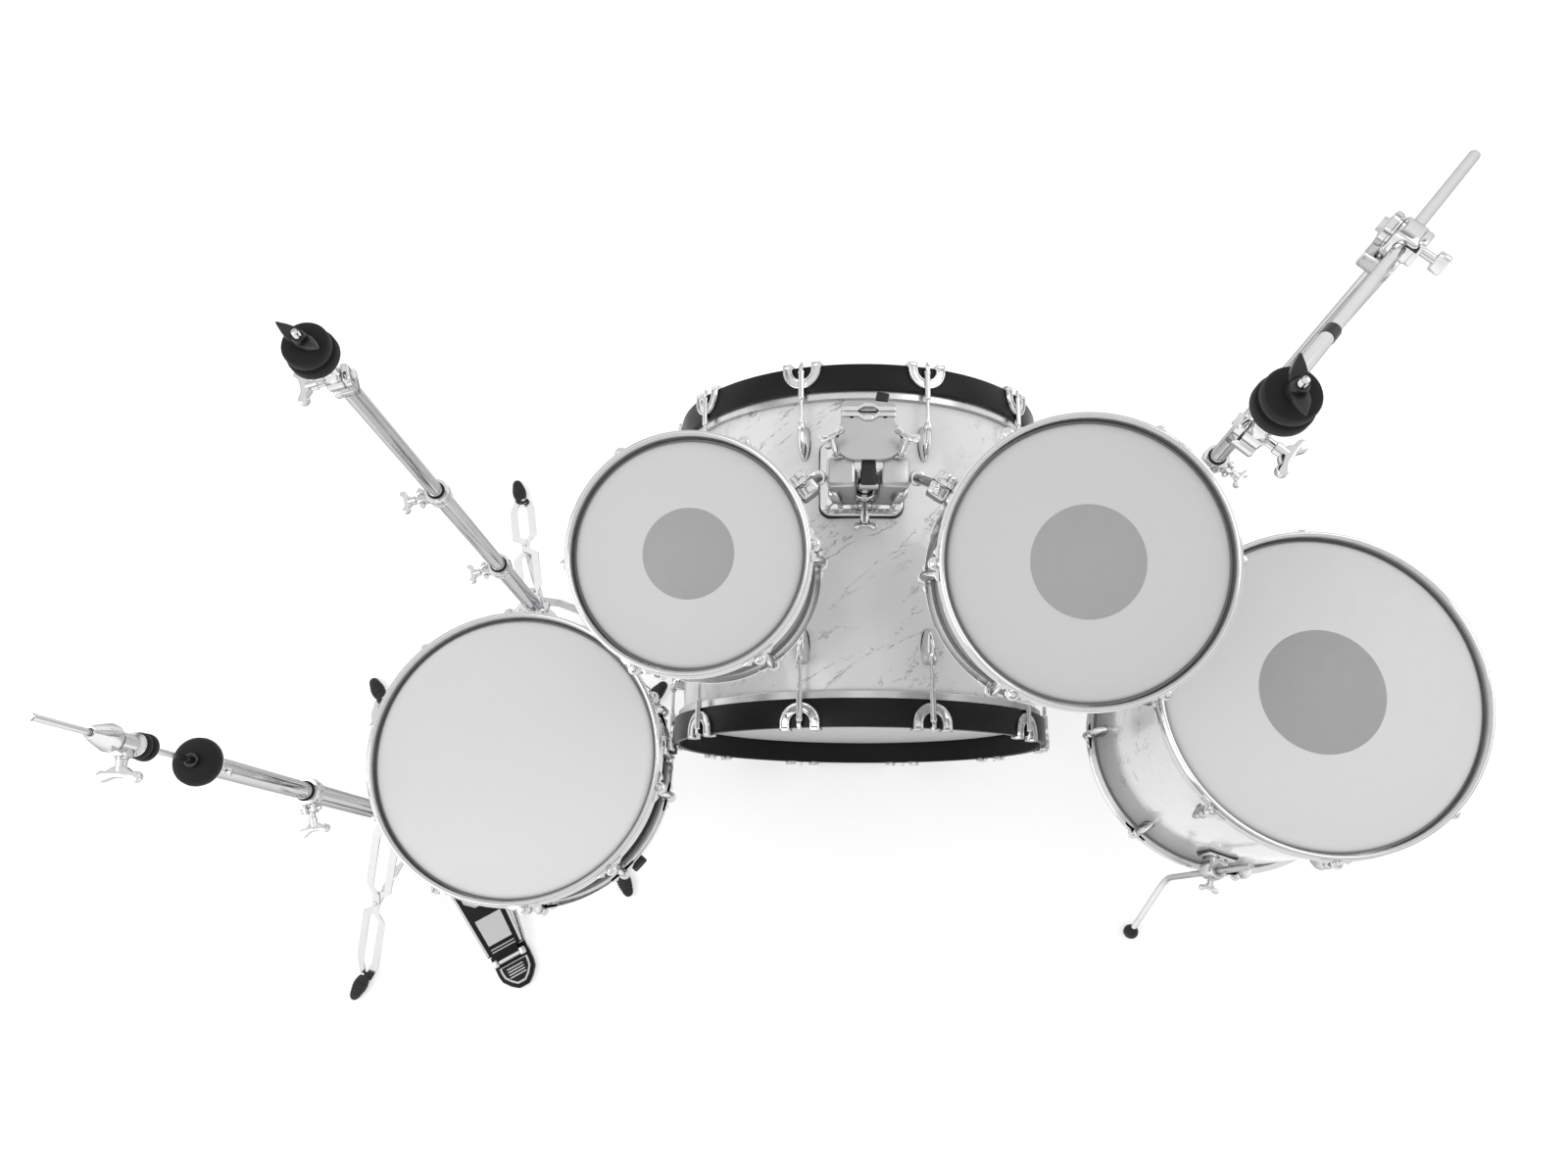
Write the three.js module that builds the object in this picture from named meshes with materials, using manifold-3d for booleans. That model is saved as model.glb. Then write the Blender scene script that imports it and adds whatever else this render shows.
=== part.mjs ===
// Five-piece drum kit with its stands, in millimetres, +Z up, audience towards +Y.
// The origin is on the floor under the middle of the whole kit.
import * as THREE from "three";
import { mergeVertices } from "three/addons/utils/BufferGeometryUtils.js";
import Module from "manifold-3d";

const wasm = await Module();
wasm.setup();

// Clearances and sections that many pieces share
const seatGap = 0.3;
const sink = 3;
const cutPast = 400;
const filmThickness = 1;
const hoopSheet = 2.3;
const hoopRise = 12;
const hoopSkirt = 13;
const hoopTopLip = 6;
const earWidth = 16;
const earPast = 7;
const rodRadius = 3.4;
const rodSides = 3;
const rodStandOff = 14;
const lugTipShare = 0.55;
const nutBendShare = 0.7;
const wingThickness = 6;
const quarterTurn = 90;
const halfTurn = 180;
const wholeTurn = 360;

// The drums: shells, hoops, lugs and places; angles are in degrees
const smallTom = {
  name: "small_tom", shellRadius: 125, shellWall: 6, shellDepth: 200, hoopClear: 4.5, hoopFlange: 8,
  lugCount: 6, firstLug: 4.7, lugLength: 46, lugHeight: 20, lugWidth: 13, rodReach: 16, sides: 18,
  place: { x: -212, y: 119, aboveBass: 390.5 }, tiltX: 9.3, tiltY: -3.3,
};
const largeTom = {
  name: "large_tom", shellRadius: 150.4, shellWall: 6, shellDepth: 228.6, hoopClear: 4.6, hoopFlange: 8,
  lugCount: 6, firstLug: 0.5, lugLength: 46, lugHeight: 20, lugWidth: 13, rodReach: 16, sides: 18,
  place: { x: 222, y: 107, aboveBass: 405.5 }, tiltX: 11.5, tiltY: -1.8,
};
const floorTom = {
  name: "floor_tom", shellRadius: 201.2, shellWall: 6, shellDepth: 406.4, hoopClear: 4.5, hoopFlange: 8,
  lugCount: 8, firstLug: 0, lugLength: 60, lugHeight: 20, lugWidth: 13, rodReach: 22, sides: 20,
  place: { x: 580, y: 22, z: 680 }, tiltX: 0, tiltY: 0,
};
const snare = {
  name: "snare", shellRadius: 175.8, shellWall: 5, shellDepth: 139.7, hoopClear: 4.2, hoopFlange: 8,
  lugCount: 10, firstLug: 24.5, lugLength: 40, lugHeight: 20, lugWidth: 12, rodReach: 12, sides: 20,
  place: { x: -453, y: -69, z: 688 }, tiltX: 0, tiltY: 0,
};
const bass = {
  shellRadius: 277.5, shellWall: 7, shellDepth: 457.2, hoopClear: 5.5, hoopWall: 9, hoopDepth: 40,
  headInset: 34, lugCount: 10, firstLug: 108, lugLength: 52, lugHeight: 26, lugWidth: 16, rodStandOff: 19,
  rodReach: 50, sides: 28, tiltBack: 2.4,
};
// A hoop clears its shell all round, and the toms keep their height above the bass drum
[smallTom, largeTom, floorTom, snare, bass].forEach((drum) => {
  drum.hoopInner = drum.shellRadius + drum.hoopClear;
});
bass.hoopRadius = bass.hoopInner + bass.hoopWall;
const bassTop = bass.hoopRadius + bass.shellRadius;
[smallTom, largeTom].forEach(({ place }) => {
  place.z = bassTop + place.aboveBass;
});

// Claws that hold the bass drum's hoops
const clawOuter = 29;
const clawInner = 14.5;
const clawLeg = 9;
const clawRise = 6;
const clawLip = 3;
const clawLipDepth = 8;

// Bass drum spurs
const spurAngle = 108;
const spurFromFront = 105.2;
const spurAlong = bass.shellDepth - spurFromFront;
const spurBossRadius = 16;
const spurBossHeight = 13;
const spurKnuckleRadius = 13;
const spurKnuckleLength = 18;
const spurRodRadius = 6;
const spurFootRadius = 11;
const spurFootLength = 34;
const spurSpread = 118;
const spurForward = 82;

// Tom holder on the bass drum; its heights count from the top of the shell
const holder = {
  x: -5, y: 344, plateWidth: 118, plateLength: 112, plateRise: 10, plateDrop: 12, cornerRadius: 16,
  postX: -2, postY: 318, postBottom: bassTop - 49.5, postRadius: 12.7, postHole: 2, postHoleDepth: 40,
  socketRadius: 19, socketTop: bassTop + 62.5, socketScrewZ: bassTop + 48.5, shieldZ: bassTop + 165.5,
  shieldThickness: 9, shieldFront: 392, shieldNeck: 352, shieldShoulder: 336, shieldBack: 292, neckWidth: 72,
  shoulderWidth: 106, holeRadius: 3.5, holeX: 22, holeY: 374, stripY: 384, stripLength: 12, stripRise: 7,
  podX: 26, podLean: 10, podY: 300, podBottom: bassTop + 70.5, podTip: 13, podRadius: 24, bridgeLength: 30,
  bridgeDrop: 36, screwX: 41.6,
};
const holderScrew = { length: 30, radius: 4.5, span: 34, height: 14 };
const holderScrewLean = (side) => ({ x: side, y: 2, z: 4 });
const tomArmRadius = 6.35;
const tomBall = { z: bassTop + 140.5, radius: 10 };
const tomBracket = { drop: 108, width: 44, height: 52, reach: 16 };
const armClamp = { depth: 24, width: 32, height: 36 };
const clampScrew = { length: 12, radius: 3.5, span: 26, height: 11 };
const tomBracketAngles = { small_tom: 38, large_tom: 147 };

// Floor tom legs
const leg = {
  angles: { rear: -108, right: 12, front: 132 }, radius: 4.8, standOff: 24, top: 560, elbow: 155, splay: 90,
  bracketZ: 400, bracketHeight: 46, bracketWidth: 34, bracketReach: 34, footRadius: 12, footBase: 8,
  footRound: 5, footHeight: 24,
};

// Snare strainer and wires
const strainer = { angle: 6.5, width: 24, height: 64, reach: 15, z: -70 };
const lever = { length: 60, tail: 1, width: 12, thickness: 7 };
const wires = { width: 46, count: 5, side: 1.6, inset: 26, plateLength: 16 };

// Tripods and tubes
const strip = { width: 13, thickness: 3, spread: 16, start: 14, crossStart: 0.42, crossEnd: 0.56 };
const hub = { radius: 20, height: 22 };
const foot = { length: 50, back: 34, neck: 8, radius: 13 };
const tube = { large: 12.7, middle: 11.1, small: 9.5, wall: 1.2, sides: 8, overlap: 90 };
const collar = { height: 26, wall: 5 };
const collarScrew = { length: 20, radius: 4, span: 30, height: 13 };

const snareStand = {
  x: -478, y: -20, legAngles: [52.5, -67.5, 172.5], legRadius: 209, hubZ: 205, lowHubZ: 104, lowTop: 300,
  upperTop: 432, basketZ: 462, basketHub: 15, basketHubHeight: 26, earWidth: 12, earRadius: 10, armRadius: 5.5,
  armRise: 13, screwAngle: -30,
  armAngles: [176, 68, -41], gripWidth: 20, gripBelow: 11, gripRise: 20, gripInward: 14, gripThickness: 9,
};

const hiHat = {
  x: -714.5, y: -116, legAngles: [122, -118, 2], legRadius: 312, hubZ: 340, lowHubZ: 190, tubeBottom: 152,
  lowTop: 694, upperTop: 976, upperBottom: 600, cupRadius: 17, cupHeight: 9, feltRadius: 25.5, feltHeight: 15,
  rodTop: 1272, rodRadius: 3, clutchZ: 1074, clutchLength: 112, clutchRadius: 7, clutchFelt: 13,
  clutchFeltHeight: 10, coneRadius: 13, clutchScrewDown: 60, screwAngle: -75,
};
const pedal = {
  angle: -61, toe: -34, hinge: 246, heelEnd: 300, toeWidth: 92, hingeWidth: 66, thickness: 6, hingeRise: 24,
  toeRise: 92, heelThickness: 14, heelTip: 30, pinRadius: 4, railRadius: 4, bridgeWidth: 132, bridgeLength: 34,
  bridgeHeight: 16, uprightWidth: 10, linkWidth: 10, linkHeight: 16,
};
const boardShares = [[0, 0.6], [0.05, 0.6], [0.06, 1], [0.8, 1], [0.94, 0.85], [1, 0.5]];
const hingeShare = 0.6;
const hingeEarShare = 0.3;
const heelTipShare = 1 / 3;

const leftStand = {
  x: -546, y: 246, legAngles: [108, 228, 348], legRadius: 306, hubZ: 236, lowHubZ: 120, lowTop: 478,
  middleTop: 806, topTop: 1112, pivotZ: 1137, screwAngle: 196,
};
const boomStand = {
  x: 485.6, y: 358.9, legAngles: [2, 110, 225], legRadius: 320, hubZ: 262, lowHubZ: 130, lowTop: 640,
  middleTop: 1172, pivotZ: 1204, screwAngle: -40.4, armPitch: 20, armFront: 337, armRear: 191, armRadius: 6,
  armSleeve: 7.2, sleeveLength: 125,
};
const boomClamp = { width: 26, length: 36, height: 26, earWidth: 10, earRadius: 18, collarHeight: 22 };
const tilter = {
  knuckleRadius: 11, knuckleHalf: 8.5, earWidth: 8, earLength: 20, earBelow: 24, earFoot: 12, stemRadius: 3.6,
  stemHeight: 104, cupRadius: 15, cupHeight: 5, feltBase: 50, feltRadius: 23, feltHeight: 14, feltGroove: 2,
  grooveDepth: 2, nutRadius: 8, nutHeight: 15, nutSpan: 44, nutRise: 13, nutWing: 5,
  sideShift: 5,
};

// Finishes, each from the photograph
const finish = (color, roughness, metalness) => new THREE.MeshStandardMaterial({ color, roughness, metalness });
const chrome = finish(0xd4d6d8, 0.12, 1);
const wrap = finish(0xe6e6e6, 0.25, 0);
const film = finish(0xdadada, 0.5, 0);
const blackLacquer = finish(0x141414, 0.35, 0);
const rubber = finish(0x1a1a1a, 0.8, 0);
const felt = finish(0x161616, 0.95, 0);
const steel = finish(0xb9bbbd, 0.3, 1);

// Geometry helpers
const radians = THREE.MathUtils.degToRad;
const vector = ({ x, y, z }) => new THREE.Vector3(x, y, z);
const polar = (radius, degrees, z) =>
  new THREE.Vector3(radius * Math.cos(radians(degrees)), radius * Math.sin(radians(degrees)), z);

function solidOf(geometry) {
  const bare = geometry.clone();
  bare.deleteAttribute("normal");
  bare.deleteAttribute("uv");
  const merged = mergeVertices(bare);
  const position = merged.attributes.position;
  const corners = [];
  let volume = 0;
  const a = new THREE.Vector3();
  const b = new THREE.Vector3();
  const c = new THREE.Vector3();
  for (let i = 0; i < merged.index.count; i += 3) {
    const [p, q, r] = [merged.index.getX(i), merged.index.getX(i + 1), merged.index.getX(i + 2)];
    if (p === q || q === r || r === p) continue;
    corners.push(p, q, r);
    a.fromBufferAttribute(position, p);
    b.fromBufferAttribute(position, q);
    c.fromBufferAttribute(position, r);
    volume += a.dot(b.cross(c));
  }
  if (volume < 0) corners.reverse();
  const triVerts = Uint32Array.from(corners);
  const vertProperties = Float32Array.from(position.array);
  return new wasm.Manifold(new wasm.Mesh({ numProp: 3, vertProperties, triVerts }));
}

function geometryOf(solid) {
  const mesh = solid.getMesh();
  const geometry = new THREE.BufferGeometry();
  geometry.setAttribute("position", new THREE.BufferAttribute(mesh.vertProperties, mesh.numProp));
  geometry.setIndex(new THREE.BufferAttribute(mesh.triVerts, 1));
  geometry.computeVertexNormals();
  return geometry;
}

function fuse(...pieces) {
  const [first, ...others] = pieces.flat().map(solidOf);
  return geometryOf(others.reduce((sum, piece) => sum.add(piece), first));
}

function cut(body, ...tools) {
  return geometryOf(tools.flat().map(solidOf).reduce((rest, tool) => rest.subtract(tool), solidOf(body)));
}

function revolve(profile, sides) {
  const points = profile.map(([radius, height]) => new THREE.Vector2(radius, height));
  return new THREE.LatheGeometry(points, sides).rotateX(Math.PI / 2);
}

function ring(outer, inner, low, high, sides) {
  return revolve([[inner, low], [outer, low], [outer, high], [inner, high], [inner, low]], sides);
}

function bar(from, to, radius, sides, endRadius = radius) {
  const along = to.clone().sub(from);
  const geometry = new THREE.CylinderGeometry(endRadius, radius, along.length(), sides);
  const turn = new THREE.Quaternion().setFromUnitVectors(new THREE.Vector3(0, 1, 0), along.clone().normalize());
  return geometry.applyQuaternion(turn).translate(...from.clone().add(to).multiplyScalar(0.5).toArray());
}

function block(width, length, height, centre) {
  return new THREE.BoxGeometry(width, length, height).translate(centre.x, centre.y, centre.z);
}

function plate(outline, thickness, windows = []) {
  const points = (corners) => corners.map(([x, y]) => new THREE.Vector2(x, y));
  const shape = new THREE.Shape(points(outline));
  shape.holes = windows.map((corners) => new THREE.Path(points(corners)));
  return new THREE.ExtrudeGeometry(shape, { depth: thickness, bevelEnabled: false, curveSegments: 4 });
}

function arc(centreX, centreY, radius, from, to, steps) {
  return Array.from({ length: steps + 1 }, (unused, i) => {
    const angle = radians(from + ((to - from) * i) / steps);
    return [centreX + radius * Math.cos(angle), centreY + radius * Math.sin(angle)];
  });
}

function mesh(name, geometry, material) {
  const node = new THREE.Mesh(geometryOf(solidOf(geometry)), material);
  node.name = name;
  return node;
}

// A wing screw: shank from the surface outwards, with a flat wing across its end
function wingScrew(from, direction, { length, radius, span, height }) {
  const end = from.clone().addScaledVector(direction, length + height / 2);
  const high = height / 2;
  const outline = [[-span / 2, high], [-radius, -high], [radius, -high], [span / 2, high]];
  const wing = plate(outline, wingThickness).translate(0, 0, -wingThickness / 2);
  const turn = new THREE.Quaternion().setFromUnitVectors(new THREE.Vector3(0, 1, 0), direction);
  wing.applyQuaternion(turn).translate(...end.toArray());
  return [bar(from, end, radius, 4), wing];
}

// Drum pieces, each in the frame of its drum: +Z out of the playing surface, z 0 on that surface
const lugAngles = (drum) =>
  Array.from({ length: drum.lugCount }, (unused, i) => drum.firstLug + (i * wholeTurn) / drum.lugCount);
const drumHeight = (drum) => drum.shellDepth + 2 * (filmThickness + seatGap);
const hoopLow = (drum) => (drum === bass ? bass.hoopDepth - bass.headInset : hoopSkirt);
const lugTop = (drum) => -hoopLow(drum) - drum.rodReach - seatGap;
const rodAt = (drum) => drum.shellRadius + (drum === bass ? bass.rodStandOff : rodStandOff);
const turnedOver = (geometry, drum) => geometry.rotateX(Math.PI).translate(0, 0, -drumHeight(drum));

function headGeometry(drum) {
  const outer = drum.hoopInner - seatGap;
  return revolve([[0, 0], [outer, 0], [outer, -filmThickness], [0, -filmThickness]], drum.sides);
}

function lugGeometry(drum, degrees, top, length) {
  const high = drum.lugHeight;
  const outline = [[-sink, 0], [high, 0], [lugTipShare * high, -length], [-sink, -length]];
  return plate(outline, drum.lugWidth).translate(0, 0, -drum.lugWidth / 2).rotateX(Math.PI / 2)
    .translate(drum.shellRadius, 0, top).rotateZ(radians(degrees));
}

function hoopGeometry(drum, angles) {
  const inner = drum.hoopInner;
  const outer = inner + drum.hoopFlange;
  const low = -hoopSkirt;
  const high = hoopRise;
  const wall = inner + hoopSheet;
  const profile = [[inner, low], [outer, low], [outer, low + hoopSheet], [wall, low + hoopSheet],
    [inner + hoopTopLip, high], [inner, high], [inner, low]];
  const fasteners = angles.flatMap((degrees) => {
    const earLength = rodAt(drum) + earPast - wall;
    const rodTop = low + hoopSheet / 2;
    return [
      block(earLength, earWidth, hoopSheet, new THREE.Vector3(wall + earLength / 2, 0, low + hoopSheet / 2)),
      bar(new THREE.Vector3(rodAt(drum), 0, low - drum.rodReach), new THREE.Vector3(rodAt(drum), 0, rodTop),
        rodRadius, rodSides),
    ].map((piece) => piece.rotateZ(radians(degrees)));
  });
  return fuse(revolve(profile, drum.sides), fasteners);
}

function shellGeometry(drum, extras = [], cuts = []) {
  const top = -filmThickness - seatGap;
  const inner = drum.shellRadius - drum.shellWall;
  const shell = ring(drum.shellRadius, inner, top - drum.shellDepth, top, drum.sides);
  const farTop = -drumHeight(drum) - lugTop(drum);
  const lugs = lugAngles(drum).flatMap((degrees) => [
    lugGeometry(drum, degrees, lugTop(drum), drum.lugLength),
    lugGeometry(drum, degrees, farTop, -drum.lugLength),
  ]);
  const whole = fuse(shell, lugs, extras);
  return cuts.length ? cut(whole, cuts) : whole;
}

function drumMeshes(drum, shell) {
  const angles = lugAngles(drum);
  const mirrored = angles.map((degrees) => -degrees);
  return [
    mesh(`${drum.name}_shell`, shell, drum === snare ? blackLacquer : wrap),
    mesh(`${drum.name}_batter_head`, headGeometry(drum), film),
    mesh(`${drum.name}_resonant_head`, turnedOver(headGeometry(drum), drum), film),
    mesh(`${drum.name}_batter_hoop`, hoopGeometry(drum, angles), chrome),
    mesh(`${drum.name}_resonant_hoop`, turnedOver(hoopGeometry(drum, mirrored), drum), chrome),
  ];
}

function drumFrame(drum) {
  const frame = new THREE.Group();
  frame.position.copy(vector(drum.place));
  frame.rotation.set(radians(drum.tiltX), radians(drum.tiltY), 0);
  frame.updateMatrixWorld();
  return frame;
}

// A block that stands on a drum's shell at an angle, reaching outwards
function shellBlock(drum, degrees, z, width, height, reach, depth = reach + sink) {
  const centre = new THREE.Vector3(drum.shellRadius + reach - depth / 2, 0, z);
  return block(depth, width, height, centre).rotateZ(radians(degrees));
}

// Bass drum, its axis along the kit's Y and its front raised by the spurs
function bassFrame() {
  const frame = new THREE.Group();
  frame.rotation.x = radians(quarterTurn + bass.tiltBack);
  frame.position.set(0, 0, bass.hoopRadius * Math.cos(radians(bass.tiltBack)));
  frame.translateZ(-bass.headInset);
  frame.updateMatrixWorld();
  return frame;
}

function clawPieces(degrees) {
  const top = bass.headInset + clawLip;
  const turnAt = top - clawLeg;
  const outline = [...arc(0, turnAt, clawOuter, halfTurn, wholeTurn, 3), [clawOuter, top], [clawInner, top],
    ...arc(0, turnAt, clawInner, wholeTurn, halfTurn, 2), [-clawInner, top], [-clawOuter, top]];
  const lean = new THREE.Matrix4().makeBasis(...[[0, 1, 0], [0, 0, 1], [1, 0, 0]].map((axis) =>
    new THREE.Vector3(...axis)));
  const arch = plate(outline, clawRise + sink).applyMatrix4(lean).translate(bass.hoopRadius - sink, 0, 0);
  const outer = bass.hoopRadius + clawRise;
  const lipLength = clawRise + clawLipDepth;
  const lip = block(lipLength, 2 * clawOuter, clawLip + sink,
    new THREE.Vector3(outer - lipLength / 2, 0, top - (clawLip + sink) / 2));
  const rodLow = -hoopLow(bass) - bass.rodReach;
  const rodEnd = new THREE.Vector3(rodAt(bass), 0, turnAt - clawInner);
  const rod = bar(new THREE.Vector3(rodAt(bass), 0, rodLow), rodEnd, rodRadius, rodSides);
  return [arch, lip, rod].map((piece) => piece.rotateZ(radians(degrees)));
}

function bassHoop(angles) {
  const hoop = ring(bass.hoopRadius, bass.hoopInner, -hoopLow(bass), bass.headInset, bass.sides);
  return fuse(hoop, angles.flatMap(clawPieces));
}

// The post's hole runs through the mount plate and the shell below it
function postHole(extra) {
  const low = new THREE.Vector3(holder.postX, holder.postY, holder.postBottom - holder.postHoleDepth);
  const high = new THREE.Vector3(holder.postX, holder.postY, holder.socketTop + sink);
  return bar(low, high, holder.postRadius + extra, 12);
}

function bassMeshes(frame) {
  const angles = lugAngles(bass);
  const toFrame = frame.matrixWorld.clone().invert();
  const bosses = [quarterTurn - spurAngle, quarterTurn + spurAngle].map((degrees) =>
    bar(polar(bass.shellRadius - sink, degrees, -spurAlong),
      polar(bass.shellRadius + spurBossHeight, degrees, -spurAlong), spurBossRadius, 8));
  const hole = postHole(holder.postHole).applyMatrix4(toFrame);
  return [
    mesh("bass_shell", shellGeometry(bass, bosses, [hole]), wrap),
    mesh("bass_batter_head", headGeometry(bass), film),
    mesh("bass_front_head", turnedOver(headGeometry(bass), bass), film),
    mesh("bass_batter_hoop", bassHoop(angles), blackLacquer),
    mesh("bass_front_hoop", turnedOver(bassHoop(angles.map((degrees) => -degrees)), bass), blackLacquer),
  ];
}

function spurMesh(name, side, frame) {
  const degrees = quarterTurn - side * spurAngle;
  const radiusOut = bass.shellRadius + spurBossHeight + seatGap;
  const from = polar(radiusOut, degrees, -spurAlong).applyMatrix4(frame.matrixWorld);
  const end = polar(radiusOut + spurKnuckleLength, degrees, -spurAlong).applyMatrix4(frame.matrixWorld);
  const start = from.clone().lerp(end, 0.5);
  const tip = new THREE.Vector3(start.x + side * spurSpread, start.y + spurForward, spurFootRadius);
  const lean = tip.clone().sub(start).normalize();
  tip.z = seatGap + spurFootRadius * Math.sqrt(1 - lean.z * lean.z);
  lean.copy(tip).sub(start).normalize();
  const ankle = tip.clone().addScaledVector(lean, -spurFootLength);
  return mesh(name, fuse(bar(from, end, spurKnuckleRadius, 8), bar(start, ankle, spurRodRadius, 8),
    bar(ankle.addScaledVector(lean, -sink), tip, spurRodRadius + sink, 8, spurFootRadius)), steel);
}

// Tom holder: a saddle plate on the shell, a sliding post, and two pods that hold the arms' balls
function mountBase(frame) {
  const halfWidth = holder.plateWidth / 2;
  const halfLength = holder.plateLength / 2;
  const round = holder.cornerRadius;
  const outline = [[1, 1], [-1, 1], [-1, -1], [1, -1]].flatMap(([x, y], corner) =>
    arc(x * (halfWidth - round), y * (halfLength - round), round, corner * quarterTurn,
      (corner + 1) * quarterTurn, 3));
  const middle = new THREE.Vector3(holder.x, holder.y, 0).applyMatrix4(frame.matrixWorld.clone().invert());
  const flat = new THREE.Matrix4().makeBasis(...[[1, 0, 0], [0, 0, -1], [0, 1, 0]].map((axis) =>
    new THREE.Vector3(...axis)));
  const saddle = plate(outline, holder.plateDrop + holder.plateRise).applyMatrix4(flat)
    .translate(holder.x, bass.shellRadius - holder.plateDrop, middle.z);
  const envelope = revolve([[0, -bass.shellDepth], [bass.shellRadius + seatGap, -bass.shellDepth],
    [bass.shellRadius + seatGap, 0], [0, 0]], bass.sides);
  const fitted = cut(saddle, envelope).applyMatrix4(frame.matrixWorld);
  const plateTop = new THREE.Vector3(0, bass.shellRadius, middle.z).applyMatrix4(frame.matrixWorld).z;
  const socketFoot = new THREE.Vector3(holder.postX, holder.postY, plateTop + sink);
  const socket = bar(socketFoot, new THREE.Vector3(holder.postX, holder.postY, holder.socketTop),
    holder.socketRadius, 12);
  const bored = cut(fuse(fitted, socket), postHole(seatGap));
  const screwY = holder.postY - holder.socketRadius + sink;
  const screwFrom = new THREE.Vector3(holder.postX, screwY, holder.socketScrewZ);
  return fuse(bored, wingScrew(screwFrom, new THREE.Vector3(0, -1, 0), holderScrew));
}

function holderGeometry() {
  const { postX, postY, shieldZ, shieldThickness } = holder;
  const neck = holder.neckWidth / 2;
  const wide = holder.shoulderWidth / 2;
  const outline = [[-wide, holder.shieldBack], [wide, holder.shieldBack], [wide, holder.shieldShoulder],
    [neck, holder.shieldNeck], [neck, holder.shieldFront], [-neck, holder.shieldFront],
    [-neck, holder.shieldNeck], [-wide, holder.shieldShoulder]];
  const shield = plate(outline, shieldThickness).translate(postX, 0, shieldZ);
  const holes = [-1, 1].map((side) => bar(
    new THREE.Vector3(postX + side * holder.holeX, holder.holeY, shieldZ - sink),
    new THREE.Vector3(postX + side * holder.holeX, holder.holeY, shieldZ + shieldThickness + sink),
    holder.holeRadius, 6));
  const stripZ = shieldZ + shieldThickness + (holder.stripRise - sink) / 2;
  const clampStrip = block(holder.neckWidth, holder.stripLength, holder.stripRise + sink,
    new THREE.Vector3(postX, holder.stripY, stripZ));
  const bridge = block(holder.neckWidth, holder.bridgeLength, holder.bridgeDrop,
    new THREE.Vector3(postX, holder.podY + holder.bridgeLength / 2, shieldZ - holder.bridgeDrop / 2 + sink));
  const post = bar(new THREE.Vector3(postX, postY, holder.postBottom),
    new THREE.Vector3(postX, postY, shieldZ + sink), holder.postRadius, 12);
  const pods = [-1, 1].map((side) => bar(
    new THREE.Vector3(postX + side * holder.podX, holder.podY, holder.podBottom),
    new THREE.Vector3(postX + side * (holder.podX + holder.podLean), holder.podY, shieldZ + sink),
    holder.podTip, 8, holder.podRadius));
  const screws = [-1, 1].flatMap((side) => wingScrew(
    new THREE.Vector3(postX + side * holder.screwX, holder.shieldShoulder - holder.podTip, shieldZ),
    vector(holderScrewLean(side)).normalize(), holderScrew));
  return fuse(cut(shield, holes), clampStrip, bridge, post, pods, screws);
}

function tomArm(drum, frame, side) {
  const share = (tomBall.z - holder.podBottom) / (holder.shieldZ + sink - holder.podBottom);
  const podSide = holder.podX + holder.podTip + share * (holder.podLean + holder.podRadius - holder.podTip);
  const ballX = holder.postX + side * (podSide + seatGap + tomBall.radius);
  const ball = new THREE.Vector3(ballX, holder.podY, tomBall.z);
  const degrees = tomBracketAngles[drum.name];
  const reach = tomBracket.reach + seatGap + armClamp.depth;
  const clamp = shellBlock(drum, degrees, -tomBracket.drop, armClamp.width, armClamp.height, reach,
    armClamp.depth);
  const middle = polar(drum.shellRadius + reach - armClamp.depth / 2, degrees, -tomBracket.drop);
  const screwAt = middle.clone().add(new THREE.Vector3(0, 0, armClamp.height / 2 - sink));
  const screw = wingScrew(screwAt, new THREE.Vector3(0, 0, 1), clampScrew);
  [clamp, ...screw].forEach((piece) => piece.applyMatrix4(frame.matrixWorld));
  const rod = bar(ball, middle.applyMatrix4(frame.matrixWorld), tomArmRadius, 8);
  const sphere = new THREE.SphereGeometry(tomBall.radius, 8, 6).translate(ball.x, ball.y, ball.z);
  return fuse(sphere, rod, clamp, screw);
}

// Floor tom legs, in the kit's frame
function legGeometry(degrees) {
  const centre = new THREE.Vector3(floorTom.place.x, floorTom.place.y, 0);
  const straight = floorTom.shellRadius + leg.standOff;
  const top = polar(straight, degrees, leg.top).add(centre);
  const elbow = polar(straight, degrees, leg.elbow).add(centre);
  const ankle = polar(straight + leg.splay, degrees, leg.footHeight / 2).add(centre);
  const base = polar(straight + leg.splay, degrees, 0).add(centre);
  const rubberFoot = revolve([[0, 0], [leg.footBase, 0], [leg.footRadius, leg.footRound],
    [leg.footRadius, leg.footHeight - leg.footRound], [0, leg.footHeight]], 6);
  return fuse(bar(elbow, top, leg.radius, 6), bar(elbow, ankle, leg.radius, 6),
    new THREE.SphereGeometry(leg.radius, 6, 4).translate(elbow.x, elbow.y, elbow.z),
    rubberFoot.translate(base.x, base.y, 0));
}

function floorTomShell() {
  const z = leg.bracketZ - floorTom.place.z;
  const angles = Object.values(leg.angles);
  const brackets = angles.map((degrees) =>
    shellBlock(floorTom, degrees, z, leg.bracketWidth, leg.bracketHeight, leg.bracketReach));
  const screws = angles.flatMap((degrees) => wingScrew(
    polar(floorTom.shellRadius + leg.bracketReach - sink, degrees, z), polar(1, degrees, 0), clampScrew));
  const holes = angles.map((degrees) => {
    const radius = floorTom.shellRadius + leg.standOff;
    return bar(polar(radius, degrees, z - leg.bracketHeight), polar(radius, degrees, z + leg.bracketHeight),
      leg.radius + 2 * seatGap, 8);
  });
  return shellGeometry(floorTom, [...brackets, ...screws], holes);
}

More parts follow.
